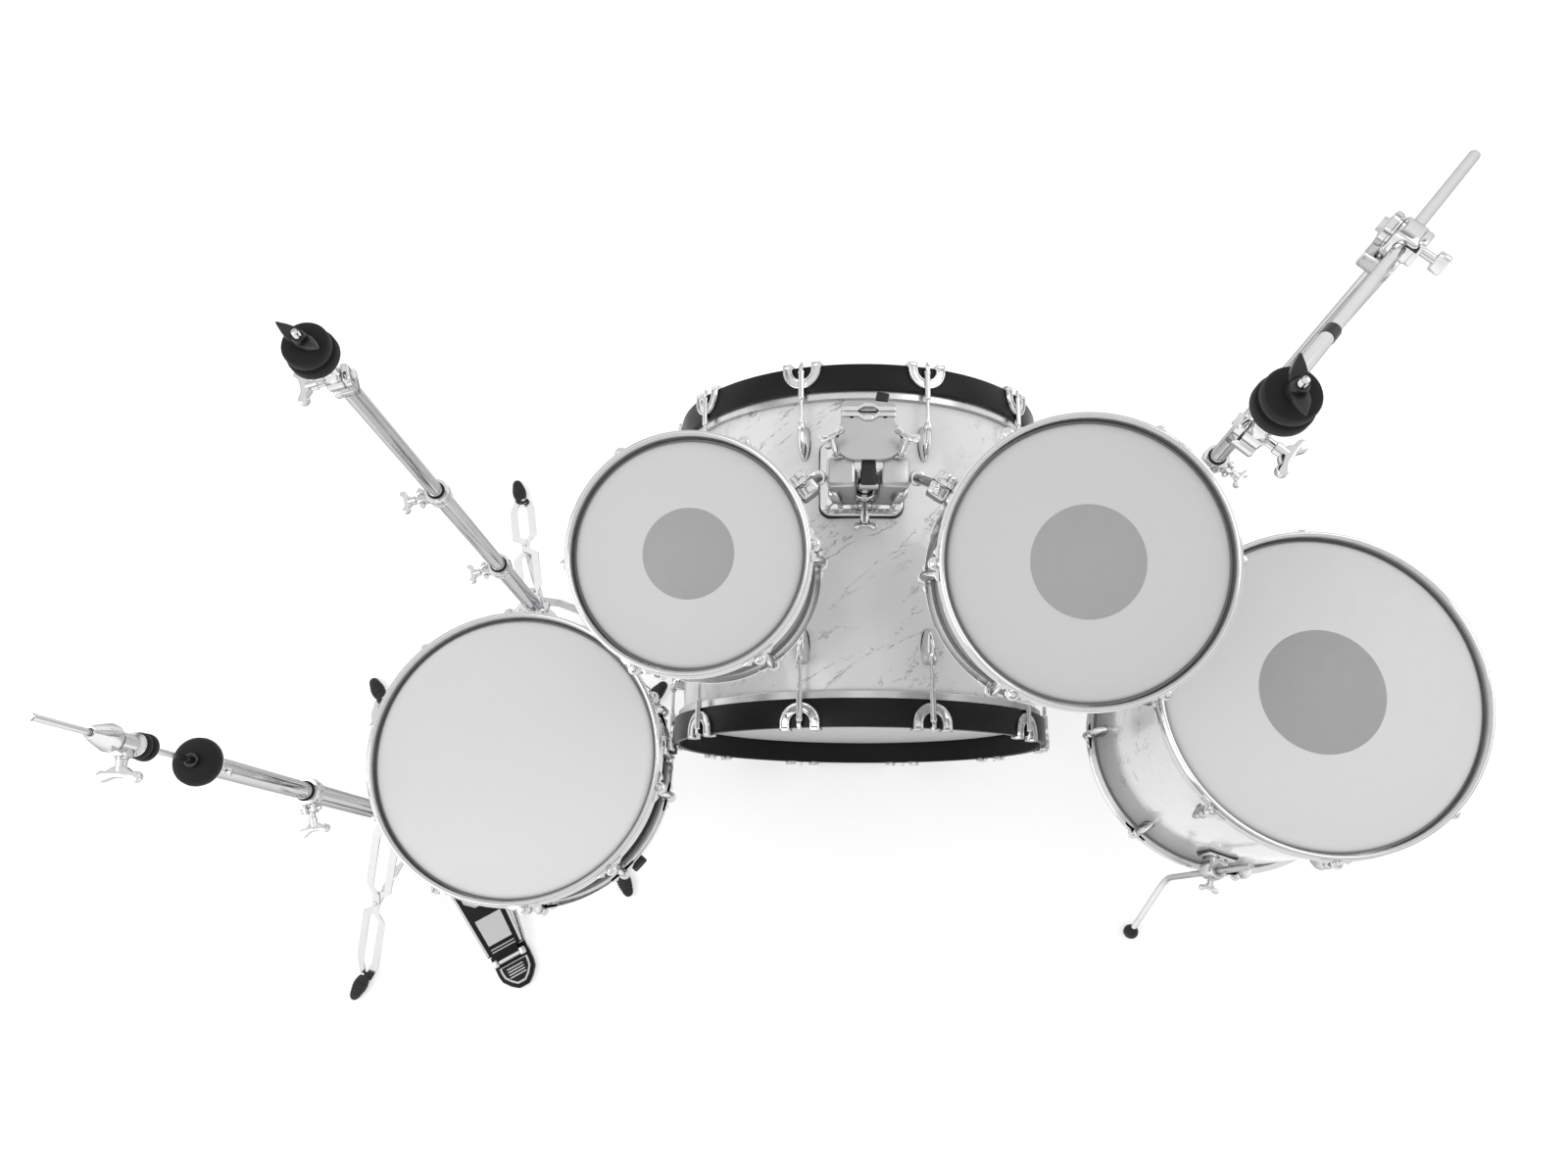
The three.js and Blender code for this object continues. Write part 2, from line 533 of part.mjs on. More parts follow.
// Snare drum extras, in the drum's frame
function leverGeometry() {
  const from = snare.shellRadius + strainer.reach + seatGap;
  const length = lever.length + lever.tail;
  const centreZ = strainer.z + strainer.height / 2 - length / 2;
  const centre = new THREE.Vector3(from + lever.thickness / 2, 0, centreZ);
  return block(lever.thickness, lever.width, length, centre).rotateZ(radians(strainer.angle));
}

function wireGeometry() {
  const top = -drumHeight(snare) - seatGap;
  const half = snare.shellRadius - wires.inset;
  const wide = wires.width / 2;
  const pitch = (wires.width - wires.side) / (wires.count - 1);
  const inner = half - wires.plateLength;
  const windows = Array.from({ length: wires.count - 1 }, (unused, i) => {
    const low = -wide + wires.side + i * pitch;
    const high = -wide + (i + 1) * pitch;
    return [[-inner, low], [inner, low], [inner, high], [-inner, high]];
  });
  return plate([[-half, -wide], [half, -wide], [half, wide], [-half, wide]], wires.side, windows)
    .translate(0, 0, top - wires.side).rotateZ(radians(strainer.angle));
}

// Tripods: three double-strip legs on an upper hub, braced from a lower hub
function tripodPieces(stand) {
  const height = (radius, z) => new THREE.Vector3(radius, 0, z);
  return stand.legAngles.flatMap((degrees) => {
    const from = height(strip.start, stand.hubZ);
    const to = height(stand.legRadius - foot.back, foot.radius);
    const along = to.clone().sub(from);
    const length = along.length();
    along.normalize();
    const across = new THREE.Vector3(0, 1, 0);
    const basis = new THREE.Matrix4().makeBasis(along, across, along.clone().cross(across)).setPosition(from);
    const half = strip.width / 2;
    const wide = strip.spread + half;
    const slim = strip.spread - half;
    const crossing = ((strip.crossStart + strip.crossEnd) / 2) * length;
    const edge = [[0, wide], [strip.crossStart * length, wide], [crossing, half],
      [strip.crossEnd * length, wide], [length, half]];
    const windows = [
      [[half, -slim], [half, slim], [strip.crossStart * length, slim], [crossing - half, 0],
        [strip.crossStart * length, -slim]],
      [[crossing + half, 0], [strip.crossEnd * length, slim], [length - 2 * strip.width, 0],
        [strip.crossEnd * length, -slim]],
    ];
    const outline = [...edge.map(([x, y]) => [x, -y]), ...edge.reverse()];
    const legPlate = plate(outline, strip.thickness, windows).applyMatrix4(basis);
    const joint = from.clone().lerp(to, (strip.crossStart + strip.crossEnd) / 2);
    const brace = bar(height(hub.radius - sink, stand.lowHubZ), joint, strip.thickness, 3);
    const heel = to.clone().addScaledVector(along, -sink);
    const toe = height(stand.legRadius - foot.back + foot.length, foot.radius / 2);
    const boot = bar(heel, toe, foot.neck, 6, foot.radius);
    return [legPlate, brace, boot].map((piece) => piece.rotateZ(radians(degrees)));
  });
}

function tripodGeometry(stand, bore, extras = []) {
  const hubs = [stand.hubZ, stand.lowHubZ].map((z) =>
    ring(hub.radius, bore, z - hub.height / 2, z + hub.height / 2, tube.sides));
  const legs = tripodPieces(stand);
  const floor = block(cutPast * 2, cutPast * 2, cutPast, new THREE.Vector3(0, 0, -cutPast / 2));
  return cut(fuse(hubs, legs, extras), floor);
}

function tubePiece(radius, low, high) {
  return ring(radius, radius - tube.wall, low, high, tube.sides);
}

// The clamp at a tube's mouth, with its wing screw
function collarPieces(radius, inner, top, degrees) {
  const outer = radius + collar.wall;
  const body = ring(outer, inner + seatGap, top - collar.height, top, tube.sides);
  const screwFrom = polar(outer - sink, degrees, top - collar.height / 2);
  const screw = wingScrew(screwFrom, polar(1, degrees, 0), collarScrew);
  return [body, ...screw];
}

// Cymbal tilter: an ear on the tube, and a knuckle with its stem; the hinge is along the local X axis
function tilterEar() {
  const outer = tilter.knuckleHalf + seatGap + tilter.earWidth;
  const ear = block(tilter.earWidth, tilter.earLength, tilter.earBelow + tilter.knuckleRadius,
    new THREE.Vector3(tilter.sideShift - outer + tilter.earWidth / 2, 0,
      (tilter.knuckleRadius - tilter.earBelow) / 2));
  const footWidth = outer + tilter.knuckleHalf;
  const earFoot = block(footWidth, tilter.earLength, tilter.earFoot,
    new THREE.Vector3(tilter.sideShift - outer + footWidth / 2, 0, -tilter.earBelow + tilter.earFoot / 2));
  return [ear, earFoot];
}

function tilterGeometry() {
  const half = tilter.knuckleHalf;
  const knuckle = bar(new THREE.Vector3(-half, 0, 0), new THREE.Vector3(half, 0, 0), tilter.knuckleRadius, 8);
  const stem = bar(new THREE.Vector3(), new THREE.Vector3(0, 0, tilter.stemHeight), tilter.stemRadius, 8);
  const cup = bar(new THREE.Vector3(0, 0, tilter.feltBase - tilter.cupHeight),
    new THREE.Vector3(0, 0, tilter.feltBase), tilter.cupRadius / 2, 10, tilter.cupRadius);
  const screw = wingScrew(new THREE.Vector3(half - sink, 0, 0), new THREE.Vector3(1, 0, 0), collarScrew);
  return fuse(knuckle, stem, cup, screw);
}

function feltGeometry() {
  const { feltRadius, feltHeight, feltGroove, grooveDepth } = tilter;
  const inner = tilter.stemRadius + seatGap;
  const low = tilter.feltBase + seatGap;
  const high = low + 2 * feltHeight + feltGroove;
  const waist = feltRadius - grooveDepth;
  return revolve([[inner, low], [feltRadius, low], [feltRadius, low + feltHeight], [waist, low + feltHeight],
    [waist, high - feltHeight], [feltRadius, high - feltHeight], [feltRadius, high], [inner, high],
    [inner, low]], 10);
}

function wingNutGeometry() {
  const { nutRadius, nutHeight, nutSpan, nutRise, nutWing } = tilter;
  const low = tilter.feltBase + 2 * tilter.feltHeight + tilter.feltGroove + 2 * seatGap;
  const barrel = bar(new THREE.Vector3(0, 0, low), new THREE.Vector3(0, 0, low + nutHeight), nutRadius, 8);
  const half = nutSpan / 2;
  const bend = nutBendShare * half;
  const outline = [[-half, nutRise], [-nutRadius, 0], [nutRadius, 0], [half, nutRise], [bend, nutRise],
    [nutRadius, nutHeight / 2], [-nutRadius, nutHeight / 2], [-bend, nutRise]];
  const wings = plate(outline, nutWing).translate(0, 0, -nutWing / 2).rotateX(Math.PI / 2).translate(0, 0, low);
  const bore = bar(new THREE.Vector3(0, 0, low - sink), new THREE.Vector3(0, 0, low + 2 * nutHeight),
    tilter.stemRadius + seatGap, 8);
  return cut(fuse(barrel, wings), bore);
}

function tilterMeshes(prefix, at, degrees) {
  const group = new THREE.Group();
  group.position.copy(at).add(polar(tilter.sideShift, degrees, 0));
  group.rotation.z = radians(degrees);
  group.add(mesh(`${prefix}_tilter`, tilterGeometry(), chrome));
  group.add(mesh(`${prefix}_felts`, feltGeometry(), felt));
  group.add(mesh(`${prefix}_wing_nut`, wingNutGeometry(), rubber));
  return group;
}

function standGroup(stand) {
  const group = new THREE.Group();
  group.position.set(stand.x, stand.y, 0);
  return group;
}

function leftStandGroup() {
  const group = standGroup(leftStand);
  const { lowTop, middleTop, topTop, pivotZ, screwAngle } = leftStand;
  const low = [tubePiece(tube.large, foot.radius, lowTop),
    ...collarPieces(tube.large, tube.middle, lowTop, screwAngle)];
  const middle = [tubePiece(tube.middle, lowTop - tube.overlap, middleTop),
    ...collarPieces(tube.middle, tube.small, middleTop, screwAngle)];
  const ear = tilterEar().map((piece) => piece.translate(0, 0, pivotZ).rotateZ(radians(screwAngle)));
  group.add(mesh("left_stand_tripod", tripodGeometry(leftStand, tube.large - tube.wall / 2, low), chrome));
  group.add(mesh("left_stand_middle_tube", fuse(middle), chrome));
  const top = tubePiece(tube.small, middleTop - tube.overlap, topTop + sink);
  group.add(mesh("left_stand_top_tube", fuse(top, ear), chrome));
  group.add(tilterMeshes("left_stand", new THREE.Vector3(0, 0, pivotZ), screwAngle));
  return group;
}

// Boom stand: a clamp turns on the tube's ear, and the arm slides through the clamp
function boomStandGroup() {
  const group = standGroup(boomStand);
  const { lowTop, middleTop, pivotZ, screwAngle, armPitch, armFront, armRear, armRadius, armSleeve,
    sleeveLength } = boomStand;
  const low = [tubePiece(tube.large, foot.radius, lowTop),
    ...collarPieces(tube.large, tube.middle, lowTop, screwAngle)];
  const { width, length, height, earWidth, earRadius } = boomClamp;
  const earX = -width / 2 - seatGap - earWidth;
  const topBlock = block(-earX + tube.middle, 2 * tube.middle, boomClamp.collarHeight,
    new THREE.Vector3((earX + tube.middle) / 2, 0, middleTop - boomClamp.collarHeight / 2));
  const post = block(earWidth, 2 * tube.middle, pivotZ - middleTop + sink,
    new THREE.Vector3(earX + earWidth / 2, 0, (pivotZ + middleTop - sink) / 2));
  const disc = bar(new THREE.Vector3(earX, 0, pivotZ), new THREE.Vector3(earX + earWidth, 0, pivotZ),
    earRadius, 10);
  const turned = [topBlock, post, disc].map((piece) => piece.rotateZ(radians(screwAngle)));
  const middle = fuse(tubePiece(tube.middle, lowTop - tube.overlap, middleTop - sink), turned);
  group.add(mesh("boom_stand_tripod", tripodGeometry(boomStand, tube.large - tube.wall / 2, low), chrome));
  group.add(mesh("boom_stand_middle_tube", middle, chrome));

  const head = new THREE.Group();
  head.position.set(0, 0, pivotZ);
  head.rotation.set(0, 0, radians(screwAngle));
  const pitched = new THREE.Group();
  pitched.rotation.x = -radians(armPitch);
  const bore = bar(new THREE.Vector3(0, -length, 0), new THREE.Vector3(0, length, 0), armRadius + seatGap, 8);
  const clampBody = cut(block(width, length, height, new THREE.Vector3()), bore);
  const screw = wingScrew(new THREE.Vector3(width / 2 - sink, 0, 0), new THREE.Vector3(1, 0, 0), holderScrew);
  pitched.add(mesh("boom_stand_clamp", fuse(clampBody, screw), chrome));
  const tip = new THREE.Vector3(0, -armFront, 0);
  const tiltBack = new THREE.Matrix4().makeRotationX(radians(armPitch));
  const ear = tilterEar().map((piece) => piece.applyMatrix4(tiltBack).translate(tip.x, tip.y, tip.z));
  const elbow = tip.clone().add(new THREE.Vector3(0, tilter.earBelow + tilter.earFoot, 0));
  const earFoot = new THREE.Vector3(0, 0, tilter.earFoot / 2 - tilter.earBelow).applyMatrix4(tiltBack).add(tip);
  const sleeveEnd = elbow.clone().add(new THREE.Vector3(0, sleeveLength, 0));
  const knee = new THREE.SphereGeometry(armSleeve, 8, 6).translate(elbow.x, elbow.y, elbow.z);
  const arm = [bar(new THREE.Vector3(0, armRear, 0), elbow, armRadius, 8),
    bar(sleeveEnd, elbow, armSleeve, 8), bar(elbow, earFoot, armRadius, 8), knee];
  pitched.add(mesh("boom_stand_arm", fuse(arm, ear), chrome));
  const level = new THREE.Group();
  level.position.copy(tip);
  level.rotation.x = radians(armPitch);
  level.add(tilterMeshes("boom_stand", new THREE.Vector3(), 0));
  pitched.add(level);
  head.add(pitched);
  group.add(head);
  return group;
}

// Snare stand: tripod, height tube, and a basket that tilts on it
function snareStandMeshes() {
  const { x, y, lowTop, upperTop, basketZ, basketHubHeight, earWidth, earRadius } = snareStand;
  const low = [tubePiece(tube.large, foot.radius, lowTop),
    ...collarPieces(tube.large, tube.middle, lowTop, snareStand.screwAngle)];
  const tripod = tripodGeometry(snareStand, tube.large - tube.wall / 2, low).translate(x, y, 0);
  const centre = new THREE.Vector3(snare.place.x, snare.place.y, basketZ);
  const earX = centre.x - basketHubHeight / 2 - seatGap - earWidth / 2;
  const earAt = new THREE.Vector3(earX, centre.y, centre.z);
  const upper = [
    tubePiece(tube.middle, lowTop - tube.overlap, upperTop).translate(x, y, 0),
    bar(new THREE.Vector3(x, y, upperTop - tube.middle), new THREE.Vector3(x, y, upperTop + tube.middle),
      tube.large, 8),
    bar(new THREE.Vector3(x, y, upperTop), earAt, earWidth / 2, 8),
    bar(earAt.clone().add(new THREE.Vector3(-earWidth / 2, 0, 0)),
      earAt.clone().add(new THREE.Vector3(earWidth / 2, 0, 0)), earRadius, 8),
  ];
  return [
    mesh("snare_stand_tripod", tripod, chrome),
    mesh("snare_stand_tube", fuse(upper), chrome),
    mesh("snare_basket", basketGeometry(centre), chrome),
  ];
}

function basketGeometry(centre) {
  const { basketHub, basketHubHeight, armRadius, armRise, gripWidth, gripBelow, gripRise,
    gripInward } = snareStand;
  const hoopBottom = snare.place.z - drumHeight(snare) - hoopRise;
  const lipRadius = snare.hoopInner + hoopTopLip + seatGap;
  const half = basketHubHeight / 2;
  const hubBarrel = bar(centre.clone().add(new THREE.Vector3(-half, 0, 0)),
    centre.clone().add(new THREE.Vector3(half, 0, 0)), basketHub, 8);
  const arms = snareStand.armAngles.flatMap((degrees) => {
    const outer = lipRadius + snareStand.gripThickness;
    const baseLength = outer - snare.hoopInner + gripInward;
    const baseZ = hoopBottom - seatGap - gripBelow / 2 - centre.z;
    const armEnd = new THREE.Vector3(outer - baseLength / 2, 0, baseZ);
    const uprightHeight = gripRise + gripBelow;
    return [
      bar(new THREE.Vector3(0, 0, armRise), armEnd, armRadius, 6),
      block(baseLength, gripWidth, gripBelow, armEnd.clone()),
      block(snareStand.gripThickness, gripWidth, uprightHeight, new THREE.Vector3(
        lipRadius + snareStand.gripThickness / 2, 0, baseZ - gripBelow / 2 + uprightHeight / 2)),
    ].map((piece) => piece.rotateZ(radians(degrees)).translate(centre.x, centre.y, centre.z));
  });
  return fuse(hubBarrel, arms);
}

// Hi-hat stand with its pedal; the pedal's frame has +X from the tube to the heel
function boardSlope() {
  return Math.atan2(pedal.toeRise - pedal.hingeRise, pedal.hinge - pedal.toe);
}

function footboardGeometry() {
  const slope = boardSlope();
  const length = (pedal.hinge - pedal.toe) / Math.cos(slope);
  const narrow = pedal.hingeWidth / 2;
  const wide = pedal.toeWidth / 2;
  const tongue = hingeShare * narrow;
  const half = boardShares.map(([along, across], i) => [along * length, across * (i < 3 ? narrow : wide)]);
  const outline = [...half.map(([x, y]) => [x, -y]), ...half.slice().reverse()];
  const up = new THREE.Vector3(Math.sin(slope), 0, Math.cos(slope));
  const basis = new THREE.Matrix4().makeBasis(new THREE.Vector3(-Math.cos(slope), 0, Math.sin(slope)),
    new THREE.Vector3(0, -1, 0), up);
  const board = plate(outline, pedal.thickness).translate(0, 0, -pedal.thickness / 2).applyMatrix4(basis)
    .translate(pedal.hinge, 0, pedal.hingeRise);
  const pin = bar(new THREE.Vector3(pedal.hinge, -tongue, pedal.hingeRise),
    new THREE.Vector3(pedal.hinge, tongue, pedal.hingeRise), pedal.pinRadius, 8);
  return fuse(board, pin);
}

function pedalBaseGeometry() {
  const { hinge, heelEnd, hingeWidth, heelThickness, heelTip, bridgeWidth, bridgeHeight, uprightWidth } = pedal;
  const half = hingeWidth / 2;
  const outline = [[hinge - heelTip / 2, -half], [heelEnd - heelTip, -half], [heelEnd, -heelTipShare * half],
    [heelEnd, heelTipShare * half],
    [heelEnd - heelTip, half], [hinge - heelTip / 2, half]];
  const heel = plate(outline, heelThickness);
  const earWidth = hingeEarShare * half;
  const earY = hingeShare * half + seatGap + earWidth / 2;
  const ears = [-1, 1].map((side) => block(3 * pedal.pinRadius, earWidth, pedal.hingeRise + 2 * pedal.pinRadius,
    new THREE.Vector3(hinge, side * earY, pedal.hingeRise / 2 + pedal.pinRadius)));
  const bridgeTop = hiHat.tubeBottom - seatGap;
  const bridge = block(pedal.bridgeLength, bridgeWidth, bridgeHeight,
    new THREE.Vector3(0, 0, bridgeTop - bridgeHeight / 2));
  const uprightY = (bridgeWidth - uprightWidth) / 2;
  const uprights = [-1, 1].map((side) => block(2 * uprightWidth, uprightWidth, bridgeTop,
    new THREE.Vector3(0, side * uprightY, bridgeTop / 2)));
  const rails = [-1, 1].map((side) => bar(new THREE.Vector3(0, side * uprightY, heelThickness / 2),
    new THREE.Vector3(hinge, side * (half - pedal.railRadius), heelThickness / 2), pedal.railRadius, 6));
  const rodHole = bar(new THREE.Vector3(0, 0, bridgeTop - 2 * bridgeHeight),
    new THREE.Vector3(0, 0, bridgeTop + bridgeHeight), hiHat.rodRadius + 2 * seatGap, 8);
  return cut(fuse(heel, ears, bridge, uprights, rails), rodHole);
}

function clutchGeometry() {
  const { clutchZ, clutchLength, clutchRadius, clutchFelt, clutchFeltHeight, coneRadius } = hiHat;
  const inner = hiHat.rodRadius + seatGap;
  const top = clutchZ + clutchLength;
  const feltLow = clutchZ + clutchFeltHeight;
  const profile = [[inner, clutchZ], [clutchRadius, clutchZ], [clutchRadius, feltLow], [clutchFelt, feltLow],
    [clutchFelt, feltLow + 2 * clutchFeltHeight], [clutchRadius, feltLow + 2 * clutchFeltHeight],
    [clutchRadius, top - 2 * coneRadius], [coneRadius, top - coneRadius], [inner + sink, top], [inner, top],
    [inner, clutchZ]];
  const screw = wingScrew(new THREE.Vector3(0, -clutchRadius + sink, top - hiHat.clutchScrewDown),
    new THREE.Vector3(0, -1, 0), clampScrew);
  return fuse(revolve(profile, 8), screw);
}

function hiHatGroup() {
  const group = standGroup(hiHat);
  const { tubeBottom, lowTop, upperBottom, upperTop, cupRadius, cupHeight, rodRadius: pullRadius } = hiHat;
  group.add(mesh("hi_hat_tripod", tripodGeometry(hiHat, tube.large + seatGap), chrome));
  group.add(mesh("hi_hat_lower_tube", fuse(tubePiece(tube.large, tubeBottom, lowTop),
    collarPieces(tube.large, tube.middle, lowTop, hiHat.screwAngle)), chrome));
  const cupBore = tube.middle - tube.wall;
  const cupLow = upperTop - cupHeight;
  const cup = revolve([[cupBore, cupLow], [tube.middle, cupLow], [cupRadius, upperTop], [cupBore, upperTop],
    [cupBore, cupLow]], tube.sides);
  group.add(mesh("hi_hat_upper_tube", fuse(tubePiece(tube.middle, upperBottom, upperTop), cup), chrome));
  const feltLow = upperTop + seatGap;
  group.add(mesh("hi_hat_seat_felt", ring(hiHat.feltRadius, pullRadius + 2 * seatGap, feltLow,
    feltLow + hiHat.feltHeight, 12), felt));
  const slope = boardSlope();
  const linkLow = pedal.hingeRise + pedal.hinge * Math.tan(slope) + pedal.thickness / 2 / Math.cos(slope)
    + (pedal.linkWidth / 2) * Math.tan(slope) + seatGap;
  const link = block(pedal.linkWidth, pedal.linkWidth, pedal.linkHeight,
    new THREE.Vector3(0, 0, linkLow + pedal.linkHeight / 2)).rotateZ(radians(pedal.angle));
  group.add(mesh("hi_hat_pull_rod", fuse(bar(new THREE.Vector3(0, 0, linkLow + pedal.linkHeight / 2),
    new THREE.Vector3(0, 0, hiHat.rodTop), pullRadius, 8), link), steel));
  group.add(mesh("hi_hat_clutch", clutchGeometry(), chrome));
  const pedalGroup = new THREE.Group();
  pedalGroup.rotation.z = radians(pedal.angle);
  pedalGroup.add(mesh("hi_hat_footboard", footboardGeometry(), blackLacquer));
  pedalGroup.add(mesh("hi_hat_pedal_base", pedalBaseGeometry(), chrome));
  group.add(pedalGroup);
  return group;
}

// The whole kit
function tomBracketPiece(drum) {
  return shellBlock(drum, tomBracketAngles[drum.name], -tomBracket.drop, tomBracket.width, tomBracket.height,
    tomBracket.reach);
}

function buildKit() {
  const kit = new THREE.Group();
  const bassGroup = bassFrame();
  kit.add(mesh("tom_mount_base", mountBase(bassGroup), chrome));
  kit.add(mesh("tom_holder", holderGeometry(), chrome));
  kit.add(spurMesh("bass_spur_right", 1, bassGroup), spurMesh("bass_spur_left", -1, bassGroup));
  bassGroup.add(...bassMeshes(bassGroup));
  kit.add(bassGroup);
  [[smallTom, -1], [largeTom, 1]].forEach(([drum, side]) => {
    const frame = drumFrame(drum);
    kit.add(mesh(`${drum.name}_arm`, tomArm(drum, frame, side), chrome));
    frame.add(...drumMeshes(drum, shellGeometry(drum, [tomBracketPiece(drum)])));
    kit.add(frame);
  });
  const floorFrame = drumFrame(floorTom);
  floorFrame.add(...drumMeshes(floorTom, floorTomShell()));
  kit.add(floorFrame);
  Object.entries(leg.angles).forEach(([place, degrees]) =>
    kit.add(mesh(`floor_tom_leg_${place}`, legGeometry(degrees), chrome)));
  const snareFrame = drumFrame(snare);
  const { angle, width, height, reach } = strainer;
  const strainerBody = shellBlock(snare, angle, strainer.z, width, height, reach);
  snareFrame.add(...drumMeshes(snare, shellGeometry(snare, [strainerBody])));
  snareFrame.add(mesh("snare_throw_off_lever", leverGeometry(), chrome));
  snareFrame.add(mesh("snare_wires", wireGeometry(), steel));
  kit.add(snareFrame, ...snareStandMeshes(), hiHatGroup(), leftStandGroup(), boomStandGroup());
  return kit;
}

const kit = buildKit();
kit.updateMatrixWorld(true);
const middle = new THREE.Box3().setFromObject(kit, true).getCenter(new THREE.Vector3());
kit.position.set(-middle.x, -middle.y, 0);
export default kit;
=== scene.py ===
import math
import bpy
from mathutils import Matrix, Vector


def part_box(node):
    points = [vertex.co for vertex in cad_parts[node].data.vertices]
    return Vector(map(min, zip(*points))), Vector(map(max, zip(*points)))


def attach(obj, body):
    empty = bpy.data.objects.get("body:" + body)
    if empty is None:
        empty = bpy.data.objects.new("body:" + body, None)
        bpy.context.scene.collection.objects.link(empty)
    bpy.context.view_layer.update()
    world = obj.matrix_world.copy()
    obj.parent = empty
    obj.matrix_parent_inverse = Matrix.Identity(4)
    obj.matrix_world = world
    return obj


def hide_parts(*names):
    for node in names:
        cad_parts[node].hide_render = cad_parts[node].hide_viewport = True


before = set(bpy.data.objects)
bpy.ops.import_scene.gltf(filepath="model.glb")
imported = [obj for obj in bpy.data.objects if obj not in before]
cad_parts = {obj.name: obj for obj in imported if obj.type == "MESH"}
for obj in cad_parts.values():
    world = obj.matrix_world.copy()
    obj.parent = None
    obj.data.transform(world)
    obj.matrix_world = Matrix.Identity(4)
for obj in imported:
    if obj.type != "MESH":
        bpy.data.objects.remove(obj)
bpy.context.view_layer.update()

from types import SimpleNamespace as Sizes

import bpy
from mathutils import Matrix, Vector

MM = 0.001
FLOOR_TOM_CENTRE = (580, 22)
low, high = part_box("floor_tom_batter_head")
middle = (low + high) / 2
KIT = Matrix.Translation((middle.x - FLOOR_TOM_CENTRE[0] * MM, middle.y - FLOOR_TOM_CENTRE[1] * MM, 0))

# The photograph's camera
bpy.ops.object.select_all(action="DESELECT")
bpy.ops.object.camera_add()
camera = bpy.context.object
camera.name = "camera"
camera.location = KIT @ Vector((-0.0794, -0.2761, 2.272))
camera.rotation_euler = (math.radians(15.202), math.radians(1.03), math.radians(0.551))
camera.data.lens = 28.67
camera.data.sensor_width = 36
camera.data.clip_end = 60
bpy.context.scene.camera = camera


# Finishes
def shader(name, color, roughness, metallic=0.0, **sockets):
    """A material with its plain values on the shader's own sockets."""
    material = bpy.data.materials.new(name)
    material.use_nodes = True
    principled = material.node_tree.nodes["Principled BSDF"]
    principled.inputs["Base Color"].default_value = (*color, 1)
    principled.inputs["Roughness"].default_value = roughness
    principled.inputs["Metallic"].default_value = metallic
    for socket, value in sockets.items():
        principled.inputs[socket.replace("_", " ")].default_value = value
    return material, principled


def texture(material, kind, scale, stretch=(1, 1, 1), turn=(0, 0, 0), **settings):
    """A procedural texture on Object coordinates, in metres, turned and then drawn out along its own axes."""
    nodes, links = material.node_tree.nodes, material.node_tree.links
    place = nodes.new("ShaderNodeTexCoord")
    mapping = nodes.new("ShaderNodeMapping")
    mapping.vector_type = "TEXTURE"
    mapping.inputs["Scale"].default_value = stretch
    mapping.inputs["Rotation"].default_value = [math.radians(angle) for angle in turn]
    pattern = nodes.new(kind)
    pattern.inputs["Scale"].default_value = scale
    for socket, value in settings.items():
        pattern.inputs[socket].default_value = value
    links.new(place.outputs["Object"], mapping.inputs["Vector"])
    links.new(mapping.outputs["Vector"], pattern.inputs["Vector"])
    return pattern


def set_stops(scale, stops):
    """Fills a colour scale with stops of a position and a colour or a grey."""
    while len(scale.elements) < len(stops):
        scale.elements.new(1)
    for element, (position, color) in zip(scale.elements, stops):
        element.position = position
        element.color = (*color, 1) if isinstance(color, tuple) else (color, color, color, 1)


def ramp(material, source, stops):
    """Colours or greys along the source's value."""
    node = material.node_tree.nodes.new("ShaderNodeValToRGB")
    set_stops(node.color_ramp, stops)
    material.node_tree.links.new(source, node.inputs["Fac"])
    return node.outputs["Color"]


def combined(material, operation, first, second):
    """Two values put together by an operation."""
    node = material.node_tree.nodes.new("ShaderNodeMath")
    node.operation = operation
    material.node_tree.links.new(first, node.inputs[0])
    material.node_tree.links.new(second, node.inputs[1])
    return node.outputs["Value"]


def bump(material, principled, source, strength, depth):
    """Relief of a depth in millimetres from the source's value."""
    node = material.node_tree.nodes.new("ShaderNodeBump")
    node.inputs["Strength"].default_value = strength
    node.inputs["Distance"].default_value = depth * MM
    material.node_tree.links.new(source, node.inputs["Height"])
    material.node_tree.links.new(node.outputs["Normal"], principled.inputs["Normal"])


def toned(color, share):
    """The colour, lighter or darker by a share."""
    return tuple(channel * share for channel in color)


def speckled(name, color, roughness, scale, spread, depth, metallic=0.0, **sockets):
    """A finish whose tone, gloss and relief vary a little over the surface."""
    material, principled = shader(name, color, roughness, metallic, **sockets)
    links = material.node_tree.links
    fine = texture(material, "ShaderNodeTexNoise", scale, Detail=6, Roughness=0.6)
    broad = texture(material, "ShaderNodeTexNoise", scale / 25, Detail=3)
    tone = ramp(material, fine.outputs["Fac"], [(0.3, toned(color, 1 - spread)), (0.7, toned(color, 1 + spread))])
    gloss = ramp(material, broad.outputs["Fac"], [(0.35, roughness * 0.8), (0.65, min(roughness * 1.2, 1))])
    links.new(tone, principled.inputs["Base Color"])
    links.new(gloss, principled.inputs["Roughness"])
    bump(material, principled, fine.outputs["Fac"], 0.5, depth)
    return material


